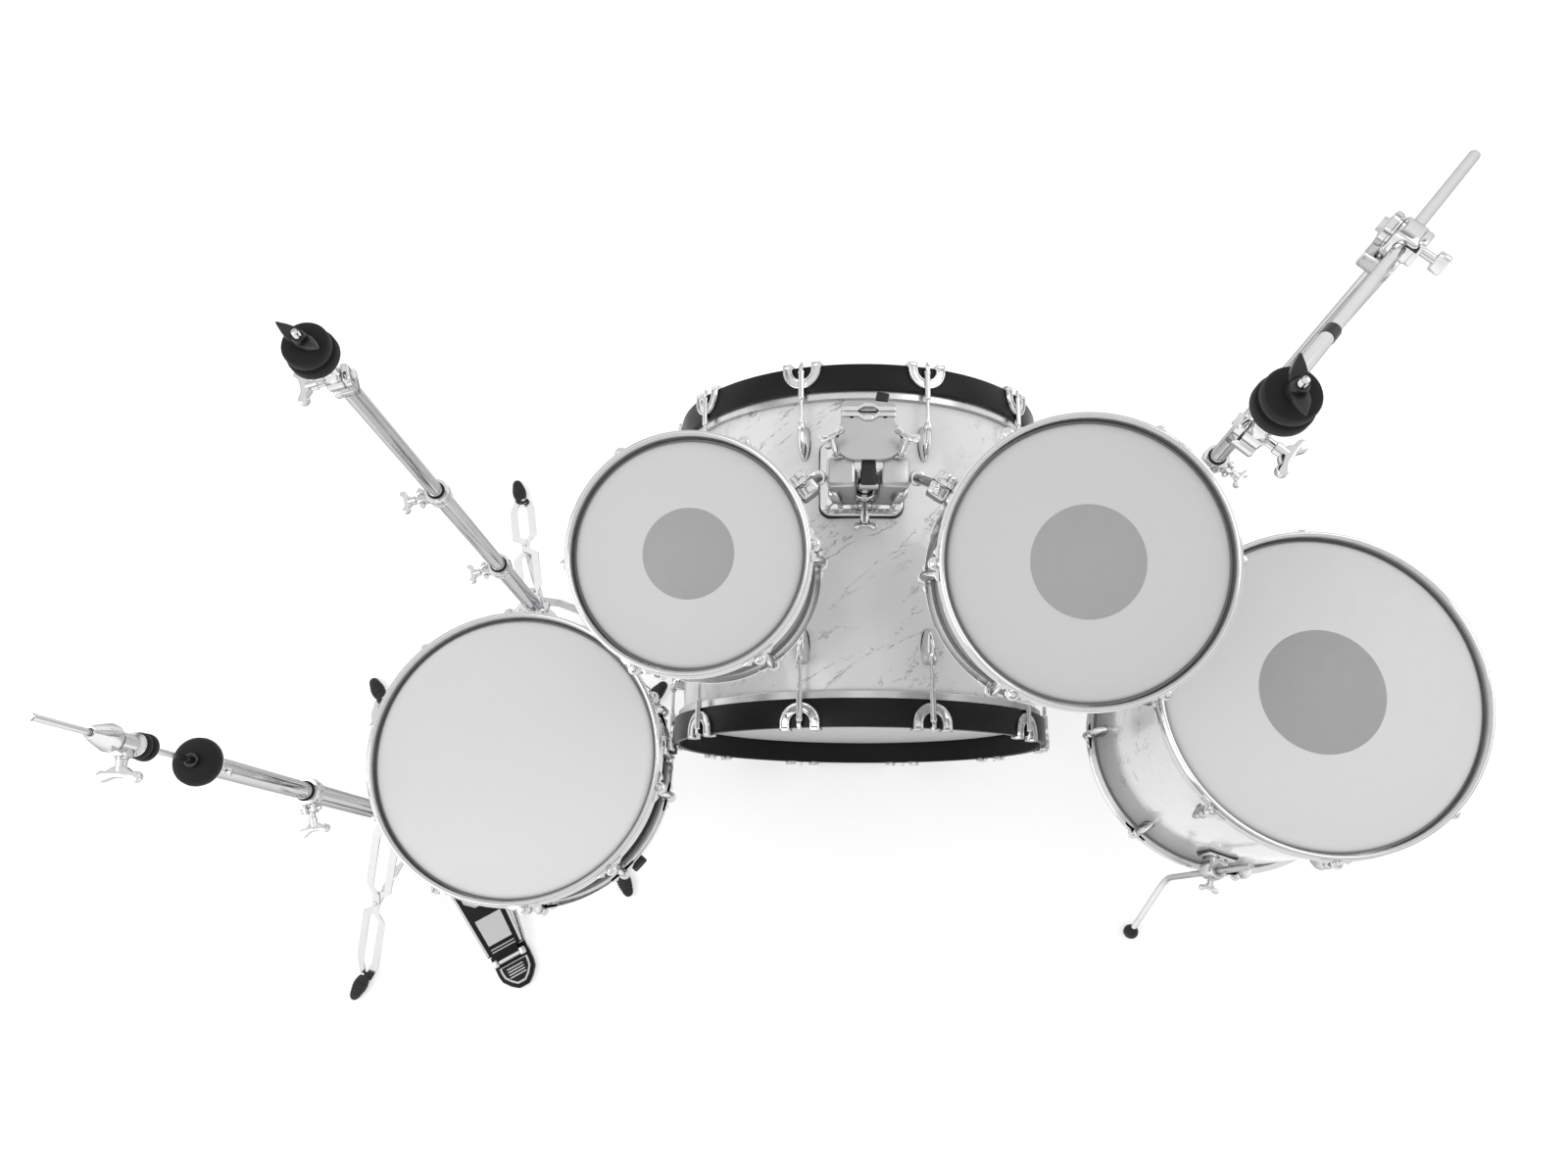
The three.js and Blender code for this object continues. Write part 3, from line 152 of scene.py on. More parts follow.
def veined_wrap():
    """White marbled plastic wrap under gloss: thin broken grey veins that climb across the shells."""
    material, principled = shader("white_marbled_wrap", (0.86, 0.86, 0.865), 0.2, Coat_Weight=0.5,
        Coat_Roughness=0.06)
    nodes, links = material.node_tree.nodes, material.node_tree.links
    slope = (0, -16, 33)
    veins = texture(material, "ShaderNodeTexNoise", 10.0, (3.4, 0.62, 0.9), slope, Detail=7, Roughness=0.62,
        Distortion=0.5)
    clouds = texture(material, "ShaderNodeTexNoise", 4.0, (1.6, 0.7, 0.9), slope, Detail=5, Roughness=0.6)
    patches = texture(material, "ShaderNodeTexNoise", 5.5, (1.4, 0.8, 1.0), slope, Detail=2)
    chips = texture(material, "ShaderNodeTexNoise", 75.0, (1.8, 0.8, 0.8), slope, Detail=4, Roughness=0.7)
    lines = ramp(material, veins.outputs["Fac"], [(0.488, 0.0), (0.4975, 1.0), (0.5025, 1.0), (0.512, 0.0)])
    breaks = ramp(material, chips.outputs["Fac"], [(0.46, 0.0), (0.54, 1.0)])
    where = ramp(material, patches.outputs["Fac"], [(0.42, 0.12), (0.56, 1.0)])
    tone = ramp(material, clouds.outputs["Fac"], [(0.3, (0.78, 0.785, 0.79)), (0.5, (0.86, 0.86, 0.865)),
        (0.75, (0.9, 0.9, 0.9))])
    share = combined(material, "MULTIPLY", combined(material, "MULTIPLY", where, breaks), lines)
    mix = nodes.new("ShaderNodeMix")
    mix.data_type = "RGBA"
    links.new(share, mix.inputs["Factor"])
    links.new(tone, mix.inputs["A"])
    mix.inputs["B"].default_value = (0.36, 0.36, 0.365, 1)
    links.new(mix.outputs["Result"], principled.inputs["Base Color"])
    bump(material, principled, clouds.outputs["Fac"], 0.15, 0.3)
    return material


def pressed_felt():
    """Black pressed felt with loose fibres."""
    material, principled = shader("black_felt", (0.008, 0.008, 0.008), 0.95, Sheen_Weight=0.08, Sheen_Roughness=0.5)
    links = material.node_tree.links
    fibres = texture(material, "ShaderNodeTexNoise", 900, (1, 1, 0.5), Detail=8, Roughness=0.75)
    tone = ramp(material, fibres.outputs["Fac"], [(0.35, 0.004), (0.62, 0.012), (0.8, 0.04)])
    links.new(tone, principled.inputs["Base Color"])
    bump(material, principled, fibres.outputs["Fac"], 0.8, 0.5)
    return material


METAL = dict(metallic=1.0, Specular_Tint=(0.42, 0.42, 0.425, 1))
CHROME = speckled("chrome_plate", (0.78, 0.782, 0.788), 0.1, 60, 0.03, 0.004, **METAL)
SATIN = speckled("satin_casting", (0.58, 0.58, 0.585), 0.34, 500, 0.06, 0.02, **METAL)
STEEL = speckled("drawn_steel", (0.72, 0.72, 0.73), 0.3, 400, 0.08, 0.02, **METAL)
# Painted shade: the drum heads' metal rims are darkened so that the gap between film and hoop reads as a dark ring.
RIM_PAINTED_SHADE = speckled("head_rim_painted_shade", (0.24, 0.24, 0.243), 0.5, 400, 0.08, 0.02, metallic=0.6)
WRAP = veined_wrap()
LACQUER = speckled("black_satin_lacquer", (0.009, 0.009, 0.009), 0.4, 300, 0.25, 0.02, Specular_IOR_Level=0.2)
RUBBER = speckled("black_rubber", (0.02, 0.02, 0.02), 0.7, 900, 0.3, 0.08)
MOULDING = speckled("black_moulding", (0.012, 0.012, 0.012), 0.38, 700, 0.2, 0.03)
PALE = speckled("pale_plate", (0.62, 0.62, 0.625), 0.42, 700, 0.04, 0.03)
FELT = pressed_felt()
DOT = speckled("grey_centre_dot", (0.37, 0.37, 0.37), 0.62, 1500, 0.06, 0.06)
# Painted light: the heads share one white coated film, and each head's own tone stands in for how the light falls
# on it.
FILM_PAINTED_LIGHT_TONES = dict(small_tom=0.62, large_tom=0.60, floor_tom=0.69, snare=0.76, bass=0.66)
PAINTED_LIGHT_FILMS = {}
for film_name, painted_light_tone in FILM_PAINTED_LIGHT_TONES.items():
    PAINTED_LIGHT_FILMS[film_name] = speckled(f"coated_film_painted_light_{film_name}", (painted_light_tone,) * 3, 0.5, 1100, 0.012, 0.03)
SMOOTH_ANGLE = math.radians(38)
WELD_DISTANCE = 0.000002
BEND_STEPS = 6


# Ways of shaping
def at(x, y, z):
    return Matrix.Translation(Vector((x, y, z)) * MM)


def turn(degrees, axis):
    return Matrix.Rotation(math.radians(degrees), 4, axis)


def stretch(x, y, z):
    return Matrix.Diagonal((x, y, z, 1))


def between(start, end):
    """The frame whose origin is at start and whose +Z runs towards end."""
    along = Vector(end) - Vector(start)
    return at(*start) @ along.to_track_quat("Z", "Y").to_matrix().to_4x4()


def span(start, end):
    return (Vector(end) - Vector(start)).length


def polar(radius, degrees, z=0):
    angle = math.radians(degrees)
    return (radius * math.cos(angle), radius * math.sin(angle), z)


def arc(x, y, radius, start, end, steps):
    """Points of an arc, as an outline takes them."""
    angles = [math.radians(start + (end - start) * i / steps) for i in range(steps + 1)]
    return [(x + radius * math.cos(angle), y + radius * math.sin(angle)) for angle in angles]


def axes(x, y, z):
    """The turn that lays X, Y and Z along three directions."""
    return Matrix((x, y, z)).transposed().to_4x4()


def in_millimetres(matrix):
    """The frame for points that are given in millimetres."""
    matrix = matrix.copy()
    matrix.translation = matrix.translation / MM
    return matrix


def select_only(*pieces):
    bpy.ops.object.select_all(action="DESELECT")
    for piece in pieces:
        piece.select_set(True)
    bpy.context.view_layer.objects.active = pieces[0]


def finish_shape(finish):
    """Closes the edited mesh, turns its faces outwards and gives it its finish."""
    piece = bpy.context.object
    bpy.ops.mesh.select_all(action="SELECT")
    bpy.ops.mesh.remove_doubles(threshold=WELD_DISTANCE)
    bpy.ops.mesh.normals_make_consistent(inside=False)
    bpy.ops.object.mode_set(mode="OBJECT")
    piece.data.materials.append(finish)
    return piece


def revolved(profile, sides, fill, finish):
    """A circle at the first point of a profile of radii and heights, drawn out from each point to the next."""
    bpy.ops.object.select_all(action="DESELECT")
    radius, height = profile[0]
    bpy.ops.mesh.primitive_circle_add(vertices=sides, radius=radius * MM, fill_type=fill)
    bpy.ops.object.mode_set(mode="EDIT")
    bpy.ops.transform.translate(value=(0, 0, height * MM))
    for (old_radius, old_height), (radius, height) in zip(profile, profile[1:]):
        bpy.ops.mesh.extrude_region_move(TRANSFORM_OT_translate={"value": (0, 0, (height - old_height) * MM)})
        share = radius / old_radius
        if share != 1:
            bpy.ops.transform.resize(value=(share, share, 1), center_override=(0, 0, height * MM))
    return finish_shape(finish)


def turned(profile, sides, finish=CHROME, radius=0, z=0):
    """A solid round Z, with a flat cap at each end of its profile; its points count from the radius and from z."""
    return revolved([(radius + out, z + up) for out, up in profile], sides, "NGON", finish)


def turned_ring(profile, sides, finish=CHROME, radius=0, z=0):
    """A ring round Z whose section is the closed profile; its points count from the radius and from z."""
    return revolved([(radius + out, z + up) for out, up in [*profile, profile[0]]], sides, "NOTHING", finish)


def slab(size, finish=CHROME, bevel=1.0, segments=2, taper=None):
    """A block round the origin with rounded edges; taper narrows its top face by shares of x and y."""
    bpy.ops.object.select_all(action="DESELECT")
    bpy.ops.mesh.primitive_cube_add(size=1)
    piece = bpy.context.object
    bpy.ops.object.mode_set(mode="EDIT")
    bpy.ops.transform.resize(value=[length * MM for length in size], center_override=(0, 0, 0))
    if taper:
        bpy.ops.object.mode_set(mode="OBJECT")
        for face in piece.data.polygons:
            face.select = face.normal.z > 0.5
        for edge in piece.data.edges:
            edge.select = all(piece.data.vertices[i].co.z > 0 for i in edge.vertices)
        for corner in piece.data.vertices:
            corner.select = corner.co.z > 0
        bpy.ops.object.mode_set(mode="EDIT")
        bpy.ops.transform.resize(value=(*taper, 1), center_override=(0, 0, size[2] / 2 * MM))
        bpy.ops.mesh.select_all(action="SELECT")
    bpy.ops.mesh.bevel(offset=bevel * MM, segments=segments, affect="EDGES", clamp_overlap=True)
    return finish_shape(finish)


def plate(outline, thickness, finish=CHROME, bevel=0.5, segments=1):
    """A flat piece with the outline, from z 0 to its thickness, with its edges broken."""
    bpy.ops.object.select_all(action="DESELECT")
    bpy.ops.mesh.primitive_circle_add(vertices=len(outline), radius=1, fill_type="NGON")
    piece = bpy.context.object
    for corner, (x, y) in zip(piece.data.vertices, outline):
        corner.co = (x * MM, y * MM, 0)
    bpy.ops.object.mode_set(mode="EDIT")
    bpy.ops.mesh.extrude_region_move(TRANSFORM_OT_translate={"value": (0, 0, thickness * MM)})
    bpy.ops.mesh.select_all(action="SELECT")
    bpy.ops.mesh.bevel(offset=bevel * MM, segments=segments, affect="EDGES", clamp_overlap=True)
    return finish_shape(finish)


def rounded_path(points, bend):
    """The points with each inner corner rounded off over the bend's length."""
    path = [Vector(points[0])]
    for before, corner, after in zip(points, points[1:], points[2:]):
        corner = Vector(corner)
        start = corner + (Vector(before) - corner).normalized() * bend
        end = corner + (Vector(after) - corner).normalized() * bend
        for step in range(BEND_STEPS + 1):
            share = step / BEND_STEPS
            path.append(start.lerp(corner, share).lerp(corner.lerp(end, share), share))
    return [*path, Vector(points[-1])]


def bent_rod(points, radius, bend):
    """A round rod along the points, bent at each of them."""
    path = rounded_path(points, bend)
    line = bpy.data.curves.new("rod", "CURVE")
    line.dimensions = "3D"
    line.bevel_depth = radius * MM
    line.bevel_resolution = 4
    line.use_fill_caps = True
    spline = line.splines.new("POLY")
    spline.points.add(len(path) - 1)
    for point, place in zip(spline.points, path):
        point.co = (*(place * MM), 1)
    rod = bpy.data.objects.new("rod", line)
    bpy.context.collection.objects.link(rod)
    select_only(rod)
    bpy.ops.object.convert(target="MESH")
    bpy.ops.object.mode_set(mode="EDIT")
    return finish_shape(CHROME)


def rod(start, end, radius, finish=CHROME, chamfer=0.8, sides=20):
    """A straight round rod with chamfered ends."""
    length = span(start, end)
    profile = [(radius - chamfer, 0), (radius, chamfer), (radius, length - chamfer), (radius - chamfer, length)]
    return placed(turned(profile, sides, finish), between(start, end))


def ball(centre, radius, sides, rings):
    """A ball whose poles are cut off a little."""
    angles = [math.pi * i / rings for i in range(rings + 1)]
    profile = [(max(radius * math.sin(angle), 0.04 * radius), -radius * math.cos(angle)) for angle in angles]
    return placed(turned(profile, sides), at(*centre))


def placed(piece, matrix):
    """Moves the piece's mesh, so that its object stays at the origin."""
    piece.data.transform(matrix)
    if matrix.determinant() < 0:
        piece.data.flip_normals()
    return piece


def moved(pieces, matrix):
    """The pieces, all moved in the same way."""
    return [placed(piece, matrix) for piece in pieces]


def copies(piece, matrices):
    """One copy of the piece, with its own mesh, for each place; the first takes the piece itself."""
    others = []
    for matrix in matrices[1:]:
        twin = piece.copy()
        twin.data = piece.data.copy()
        bpy.context.collection.objects.link(twin)
        others.append(placed(twin, matrix))
    return [placed(piece, matrices[0]), *others]


def copies_of_all(pieces, matrices):
    """Copies of a shape that has several pieces."""
    return [copy for piece in pieces for copy in copies(piece, matrices)]


def flat(*groups):
    """All pieces of several lists as one list."""
    return [piece for group in groups for piece in (group if isinstance(group, (list, tuple)) else [group])]


def assemble(name, pieces, body, nodes=(), matrix=None):
    """Joins the pieces into one named piece that rides on the body and stands for the nodes."""
    pieces = flat(*pieces)
    select_only(*pieces)
    if len(pieces) > 1:
        bpy.ops.object.join()
    piece = bpy.context.view_layer.objects.active
    piece.name = name
    piece.data.name = name
    placed(piece, KIT if matrix is None else KIT @ matrix)
    select_only(piece)
    bpy.ops.object.shade_smooth_by_angle(angle=SMOOTH_ANGLE)
    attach(piece, body)
    if nodes:
        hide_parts(*nodes)
    return piece


# Small fittings
def wing_screw(start, direction, length, radius, width, height, thickness=7):
    """A cast wing screw: collar, shank, and a wing whose two rounded ends are thicker than its middle."""
    rise = height / 2
    lobe = rise * 0.72
    out, up, neck = width / 2 - lobe, rise * 0.22, rise * 0.34
    shank = turned([(radius * 0.8, 0), (radius * 1.6, 0.5), (radius * 1.6, 3), (radius, 3.6),
        (radius, length - rise), (radius * 1.4, length - rise + 1), (radius * 1.2, length + rise * 0.6)], 16)
    outline = [*arc(out, up, lobe, -125, 130, 10), (radius * 1.3, neck), (-radius * 1.3, neck),
        *arc(-out, up, lobe, 50, 305, 10), (-radius * 1.5, -rise), (radius * 1.5, -rise)]
    wing = placed(plate(outline, thickness, bevel=1.7, segments=3), at(0, 0, length + rise) @ turn(90, "X")
        @ at(0, 0, -thickness / 2))
    return moved((shank, wing), between(start, Vector(start) + Vector(direction)))


def hex_bolt(start, direction, radius, height):
    """A six-sided bolt head with a washer."""
    head = turned([(radius * 1.35, 0), (radius * 1.35, height * 0.25), (radius, height * 0.26),
        (radius, height * 0.85), (radius * 0.8, height)], 6)
    return placed(head, between(start, Vector(start) + Vector(direction)))


def screw_heads(profile, sides, frame_here, places):
    """A small screw head at each place, standing along +X of the frame."""
    return [placed(turned(profile, sides), frame_here @ at(*place) @ turn(90, "Y")) for place in places]


def tension_rod(low_z, seat_z):
    """A tension rod along Z with its washer, flange and square head above the seat."""
    stem = turned([(2.3, low_z), (3.0, low_z + 1), (3.0, seat_z), (6.4, seat_z), (6.6, seat_z + 0.5),
        (6.2, seat_z + 1.2), (4.9, seat_z + 1.3), (5.1, seat_z + 2.4), (3.8, seat_z + 3.0), (3.4, seat_z + 3.2)],
        12)
    head = placed(slab((6.0, 6.0, 7.0), bevel=0.9), at(0, 0, seat_z + 6.2))
    return [stem, head]


def lug_shape(length, height, width, stand_off):
    """A long almond-shaped lug on its gasket, with the nut that the tension rod enters at z 0."""
    half = width / 2
    shares = [(0.60, 0.0), (0.78, -0.03), (0.93, -0.12), (1.0, -0.30), (0.98, -0.50), (0.86, -0.70), (0.62, -0.87),
        (0.40, -0.96), (0.22, -1.0)]
    body = turned([(half * wide, length * along) for wide, along in shares], 20)
    placed(body, stretch(height / half, 1, 1))
    nut = placed(turned([(3.6, 3.4), (5.0, 3.0), (5.2, 0.6), (4.4, 0.2), (5.8, -0.4), (6.0, -6), (4.5, -9)], 16),
        at(stand_off, 0, 0))
    pad = [((half + 0.3) * x, -length / 2 + (length / 2 + 0.3) * y) for x, y in arc(0, 0, 1, 0, 345, 23)]
    gasket = placed(plate(pad, 1.2, RUBBER, bevel=0.3), turn(90, "X") @ turn(90, "Y") @ at(0, 0, -0.6))
    return [body, nut, gasket]


# The drums; z 0 is the playing surface and +Z points out of it
DRUMS = {
    "small_tom": Sizes(shell=125, wall=6, depth=200, hoop=129.5, count=6, first=4.7, lug=(46, 20, 13), reach=16,
                       place=(-212, 119, 960), tilt=(9.3, -3.3), body="small_tom", dot=50.8),
    "large_tom": Sizes(shell=150.4, wall=6, depth=228.6, hoop=155, count=6, first=0.5, lug=(46, 20, 13), reach=16,
                       place=(222, 107, 975), tilt=(11.5, -1.8), body="large_tom", dot=62.5),
    "floor_tom": Sizes(shell=201.2, wall=6, depth=406.4, hoop=205.7, count=8, first=0, lug=(60, 20, 13), reach=22,
                       place=(580, 22, 680), tilt=(0, 0), body="kit_base", dot=81),
    "snare": Sizes(shell=175.8, wall=5, depth=139.7, hoop=180, count=10, first=24.5, lug=(40, 20, 12), reach=12,
                   place=(-453, -69, 688), tilt=(0, 0), body="snare_drum", dot=None),
}
GAP = 0.3
HEAD_GAP = 1.3
HOOP_SKIRT = 13
EAR_THICKNESS = 2.3
ROD_STAND_OFF = 14
SIDES = 96
BASS_SIDES = 144


def drum_matrix(drum):
    tilt_x, tilt_y = drum.tilt
    return at(*drum.place) @ turn(tilt_x, "X") @ turn(tilt_y, "Y")


def turned_over(drum):
    return at(0, 0, -drum.depth - 2 * HEAD_GAP) @ turn(180, "X")


def angles_of(drum):
    return [drum.first + 360 * i / drum.count for i in range(drum.count)]


def head_pieces(radius, hoop, film, dot):
    """A coated film with its collar, its metal rim darkened as painted shade for the gap under the hoop, and a
    centre dot where there is one.
    """
    skin = turned([(1.6, -9.6), (1.5, -8.0), (0.7, -3.4), (-0.8, -1.3), (-3.4, -0.4), (-8.0, 0.0)], SIDES, film,
        radius=radius)
    rim = turned_ring([(radius + 1.0, -12.8), (hoop - 0.4, -12.8), (hoop - 0.4, -6.4), (radius + 1.5, -6.4)], SIDES,
        RIM_PAINTED_SHADE)
    pieces = [skin, rim]
    if dot:
        pieces.append(turned([(dot, -0.1), (dot, 0.16), (dot - 0.2, 0.26)], SIDES, DOT))
    return pieces


def hoop_ring(inner):
    """A triple-flanged hoop: a wall, a rolled top lip and a bottom flange, all turned outwards."""
    section = [(0, -13), (0, 6.5), (0.5, 9.4), (1.7, 11.3), (3.4, 12), (5.2, 11.7), (6.2, 10.7), (5.9, 9.8),
        (4.4, 9.7), (3.0, 8.6), (2.4, 6.0), (2.3, -8.6), (2.9, -10.1), (4.4, -10.7), (7.4, -10.9), (8.2, -11.7),
        (7.5, -13)]
    return turned_ring(section, SIDES, radius=inner)


def hoop_ear(inner, rod_at):
    """A flared ear of the bottom flange, with a rounded end round its tension rod."""
    start = inner + 3
    reach = 7.6
    side = [(start, -21), (start + 4.5, -19), (start + 8, -12), (rod_at - 2, -8.2)]
    outline = [*side, *arc(rod_at, 0, reach, -70, 70, 10), *[(x, -y) for x, y in reversed(side)]]
    return placed(plate(outline, EAR_THICKNESS, bevel=0.6, segments=2), at(0, 0, -HOOP_SKIRT))


def hoop_pieces(drum, angles):
    """The hoop with its ears and tension rods."""
    rod_at = drum.shell + ROD_STAND_OFF
    ring = hoop_ring(drum.hoop)
    turns = [turn(angle, "Z") for angle in angles]
    ears = copies(hoop_ear(drum.hoop, rod_at), turns)
    rods = copies_of_all(tension_rod(-HOOP_SKIRT - drum.reach - 8, EAR_THICKNESS - HOOP_SKIRT),
        [way @ at(rod_at, 0, 0) for way in turns])
    return [ring, *ears, *rods]


def shell_ring(radius, wall, depth, bead=0):
    """A shell with bearing edges cut inwards, and a raised bead round a metal one."""
    top = -HEAD_GAP
    bottom = top - depth
    half = (top + bottom) / 2
    belt = [(radius, half - 9), (radius + bead, half - 6), (radius + bead, half + 6),
        (radius, half + 9)] if bead else []
    section = [(radius - wall, bottom + 7), (radius - wall * 0.55, bottom), (radius - 0.8, bottom + 1.6),
        (radius, bottom + 3), *belt, (radius, top - 3), (radius - 0.8, top - 1.6), (radius - wall * 0.55, top),
        (radius - wall, top - 7)]
    return turned_ring(section, SIDES, CHROME if bead else WRAP)


def vent(radius, z, degrees):
    """The shell's air vent, a small round eyelet."""
    eyelet = turned_ring([(4, -0.5), (8.4, -0.5), (8.6, 0.6), (7.2, 1.6), (5, 1.6), (4, 0.8)], 24)
    return placed(eyelet, turn(degrees, "Z") @ at(radius, 0, z) @ turn(90, "Y"))


def lug_set(drum, skirt, stand_off):
    """Every lug of a drum, at both of its ends."""
    top = -skirt - drum.reach - GAP
    bottom = -drum.depth - 2 * HEAD_GAP - top
    places = [turn(angle, "Z") @ at(drum.shell, 0, z) @ stretch(1, 1, side) for angle in angles_of(drum)
        for z, side in ((top, 1), (bottom, -1))]
    return copies_of_all(lug_shape(*drum.lug, stand_off), places)


def build_drum(name, drum):
    """Shell, lugs, two heads and two hoops of a tom or snare drum."""
    matrix, body = drum_matrix(drum), drum.body
    over = matrix @ turned_over(drum)
    angles = angles_of(drum)
    metal = name == "snare"
    shell = shell_ring(drum.shell, drum.wall, drum.depth, 3.2 if metal else 0)
    eyelet = vent(drum.shell, -drum.depth * (0.28 if metal else 0.5), angles[1] + 360 / drum.count / 2)
    assemble(f"{name}_round_shell", [shell, eyelet], body,
        [f"{name}_shell"], matrix)
    assemble(f"{name}_lugs", lug_set(drum, HOOP_SKIRT, ROD_STAND_OFF), body, (), matrix)
    for label, side, where, dot in (("playing", "batter", matrix, drum.dot), ("bottom", "resonant", over, None)):
        head = head_pieces(drum.shell, drum.hoop, PAINTED_LIGHT_FILMS[name], dot)
        assemble(f"{name}_{label}_head", head, body, [f"{name}_{side}_head"], where)
    for label, side, where, mirror in (("top", "batter", matrix, 1), ("bottom", "resonant", over, -1)):
        hoop = hoop_pieces(drum, [mirror * angle for angle in angles])
        assemble(f"{name}_{label}_hoop", hoop, body, [f"{name}_{side}_hoop"], where)


# The bass drum lies on its side, with its front raised a little
BASS = Sizes(shell=277.5, wall=7, depth=457.2, hoop=283, outer=292, deep=40, inset=34, count=10, first=108,
    lug=(50, 24, 17), stand_off=19, reach=50, tilt=2.4)
CLAW = Sizes(outer=29, inner=14.5, leg=9, rise=6, lip=3, hook=8)


def bass_matrix():
    centre = BASS.outer * math.cos(math.radians(BASS.tilt))
    return at(0, 0, centre) @ turn(90 + BASS.tilt, "X") @ at(0, 0, -BASS.inset)


def claw_shape():
    """An arched claw with raised ribs and two hooks over the hoop's edge, lying on the hoop at +X."""
    top = BASS.inset + CLAW.lip
    middle_z = top - CLAW.leg
    lay = Matrix(((0, 0, 1, 0), (1, 0, 0, 0), (0, 1, 0, 0), (0, 0, 0, 1)))
    outward = at(BASS.outer - 1, 0, 0)

    def arch(outer, inner, end, thickness, lift):
        outline = [*arc(0, middle_z, outer, 180, 360, 18), (outer, end), (inner, end),
            *arc(0, middle_z, inner, 360, 180, 14), (-inner, end), (-outer, end)]
        return placed(plate(outline, thickness, bevel=0.9, segments=2), at(lift, 0, 0) @ outward @ lay)

    body = arch(CLAW.outer, CLAW.inner, top, CLAW.rise - 1.6, 0)
    outer_rib = arch(CLAW.outer - 0.3, CLAW.outer - 3.2, top - 1, 2.6, CLAW.rise - 2.6)
    inner_rib = arch(CLAW.inner + 3.2, CLAW.inner + 0.3, top - 1, 2.6, CLAW.rise - 2.6)
    width = CLAW.outer - CLAW.inner
    hooks = copies(placed(slab((CLAW.rise + CLAW.hook, width, CLAW.lip + 2.6), bevel=1),
        at(BASS.outer + (CLAW.rise - 1.6 - CLAW.hook) / 2 - 0.6, 0, top - 1.4)),
        [at(0, side * (CLAW.outer - width / 2), 0) for side in (-1, 1)])
    return [body, outer_rib, inner_rib, *hooks]


def claw_rod():
    """A bass drum tension rod: a thin stem, a thick sleeve over the claw, and a domed square head."""
    low_z = BASS.inset - BASS.deep - BASS.reach
    axis = BASS.shell + BASS.stand_off
    stem = turned([(2.4, low_z - 6), (2.9, low_z - 5), (2.9, -19), (4.4, -17.5), (4.6, -16), (4.6, 20), (5.2, 20.5),
        (5.2, 25), (4.2, 26)], 16)
    head = placed(slab((6.8, 6.8, 9), bevel=1.2), at(0, 0, 30))
    tip = turned([(2.9, 34), (2.4, 38), (0.9, 39.8)], 12)
    return moved((stem, head, tip), at(axis, 0, 0))


def bass_hoop_ring():
    inner, outer = BASS.hoop, BASS.outer
    low_z, top = BASS.inset - BASS.deep, BASS.inset
    return turned_ring([(inner, low_z + 1.5), (inner + 1.5, low_z), (outer - 1.8, low_z),
        (outer - 0.5, low_z + 0.5), (outer, low_z + 1.8), (outer, top - 1.8), (outer - 0.5, top - 0.5),
        (outer - 1.8, top), (inner + 1.5, top), (inner, top - 1.5)], BASS_SIDES, LACQUER)


def build_bass():
    """The bass drum: shell, lugs, heads, wooden hoops, claws and rods."""
    matrix = bass_matrix()
    angles = angles_of(BASS)
    shell_radius, hoop = BASS.shell, BASS.hoop
    shell = shell_ring(shell_radius, BASS.wall, BASS.depth)
    eyelet = vent(shell_radius, -BASS.depth * 0.5, angles[2] + 18)
    assemble("bass_round_shell", [shell, eyelet], "kit_base", ["bass_shell"], matrix)
    lugs = lug_set(BASS, BASS.deep - BASS.inset, BASS.stand_off)
    assemble("bass_lugs", lugs, "kit_base", (), matrix)
    for label, where, mirror in (("batter", matrix, 1), ("front", matrix @ turned_over(BASS), -1)):
        turns = [turn(mirror * angle, "Z") for angle in angles]
        skin = turned([(hoop - 1.6, -8.6), (hoop - 1.4, -8.0), (shell_radius + 1, -2.8), (shell_radius - 2, -0.8),
            (shell_radius - 6, -0.2), (shell_radius - 14, 0)], BASS_SIDES, PAINTED_LIGHT_FILMS["bass"])
        rim = turned_ring([(shell_radius + 1, -17), (hoop + 1.5, -17), (hoop + 2, -16.4), (hoop + 2, -6.2),
            (shell_radius + 1, -6.2)], BASS_SIDES, STEEL)
        assemble(f"bass_{label}_film", [skin, rim], "kit_base", [f"bass_{label}_head"], where)
        assemble(f"bass_{label}_wood_hoop", [bass_hoop_ring()], "kit_base", [f"bass_{label}_hoop"],
            where)
        claws = copies_of_all((*claw_shape(), *claw_rod()), turns)
        assemble(f"bass_{label}_claws", claws, "kit_base", (), where)


# Spurs of the bass drum
SPUR = Sizes(angle=108, along=352, boss=16, boss_height=13, knuckle=13, length=18, rod=6, foot=11, foot_length=34,
    spread=118, forward=82)


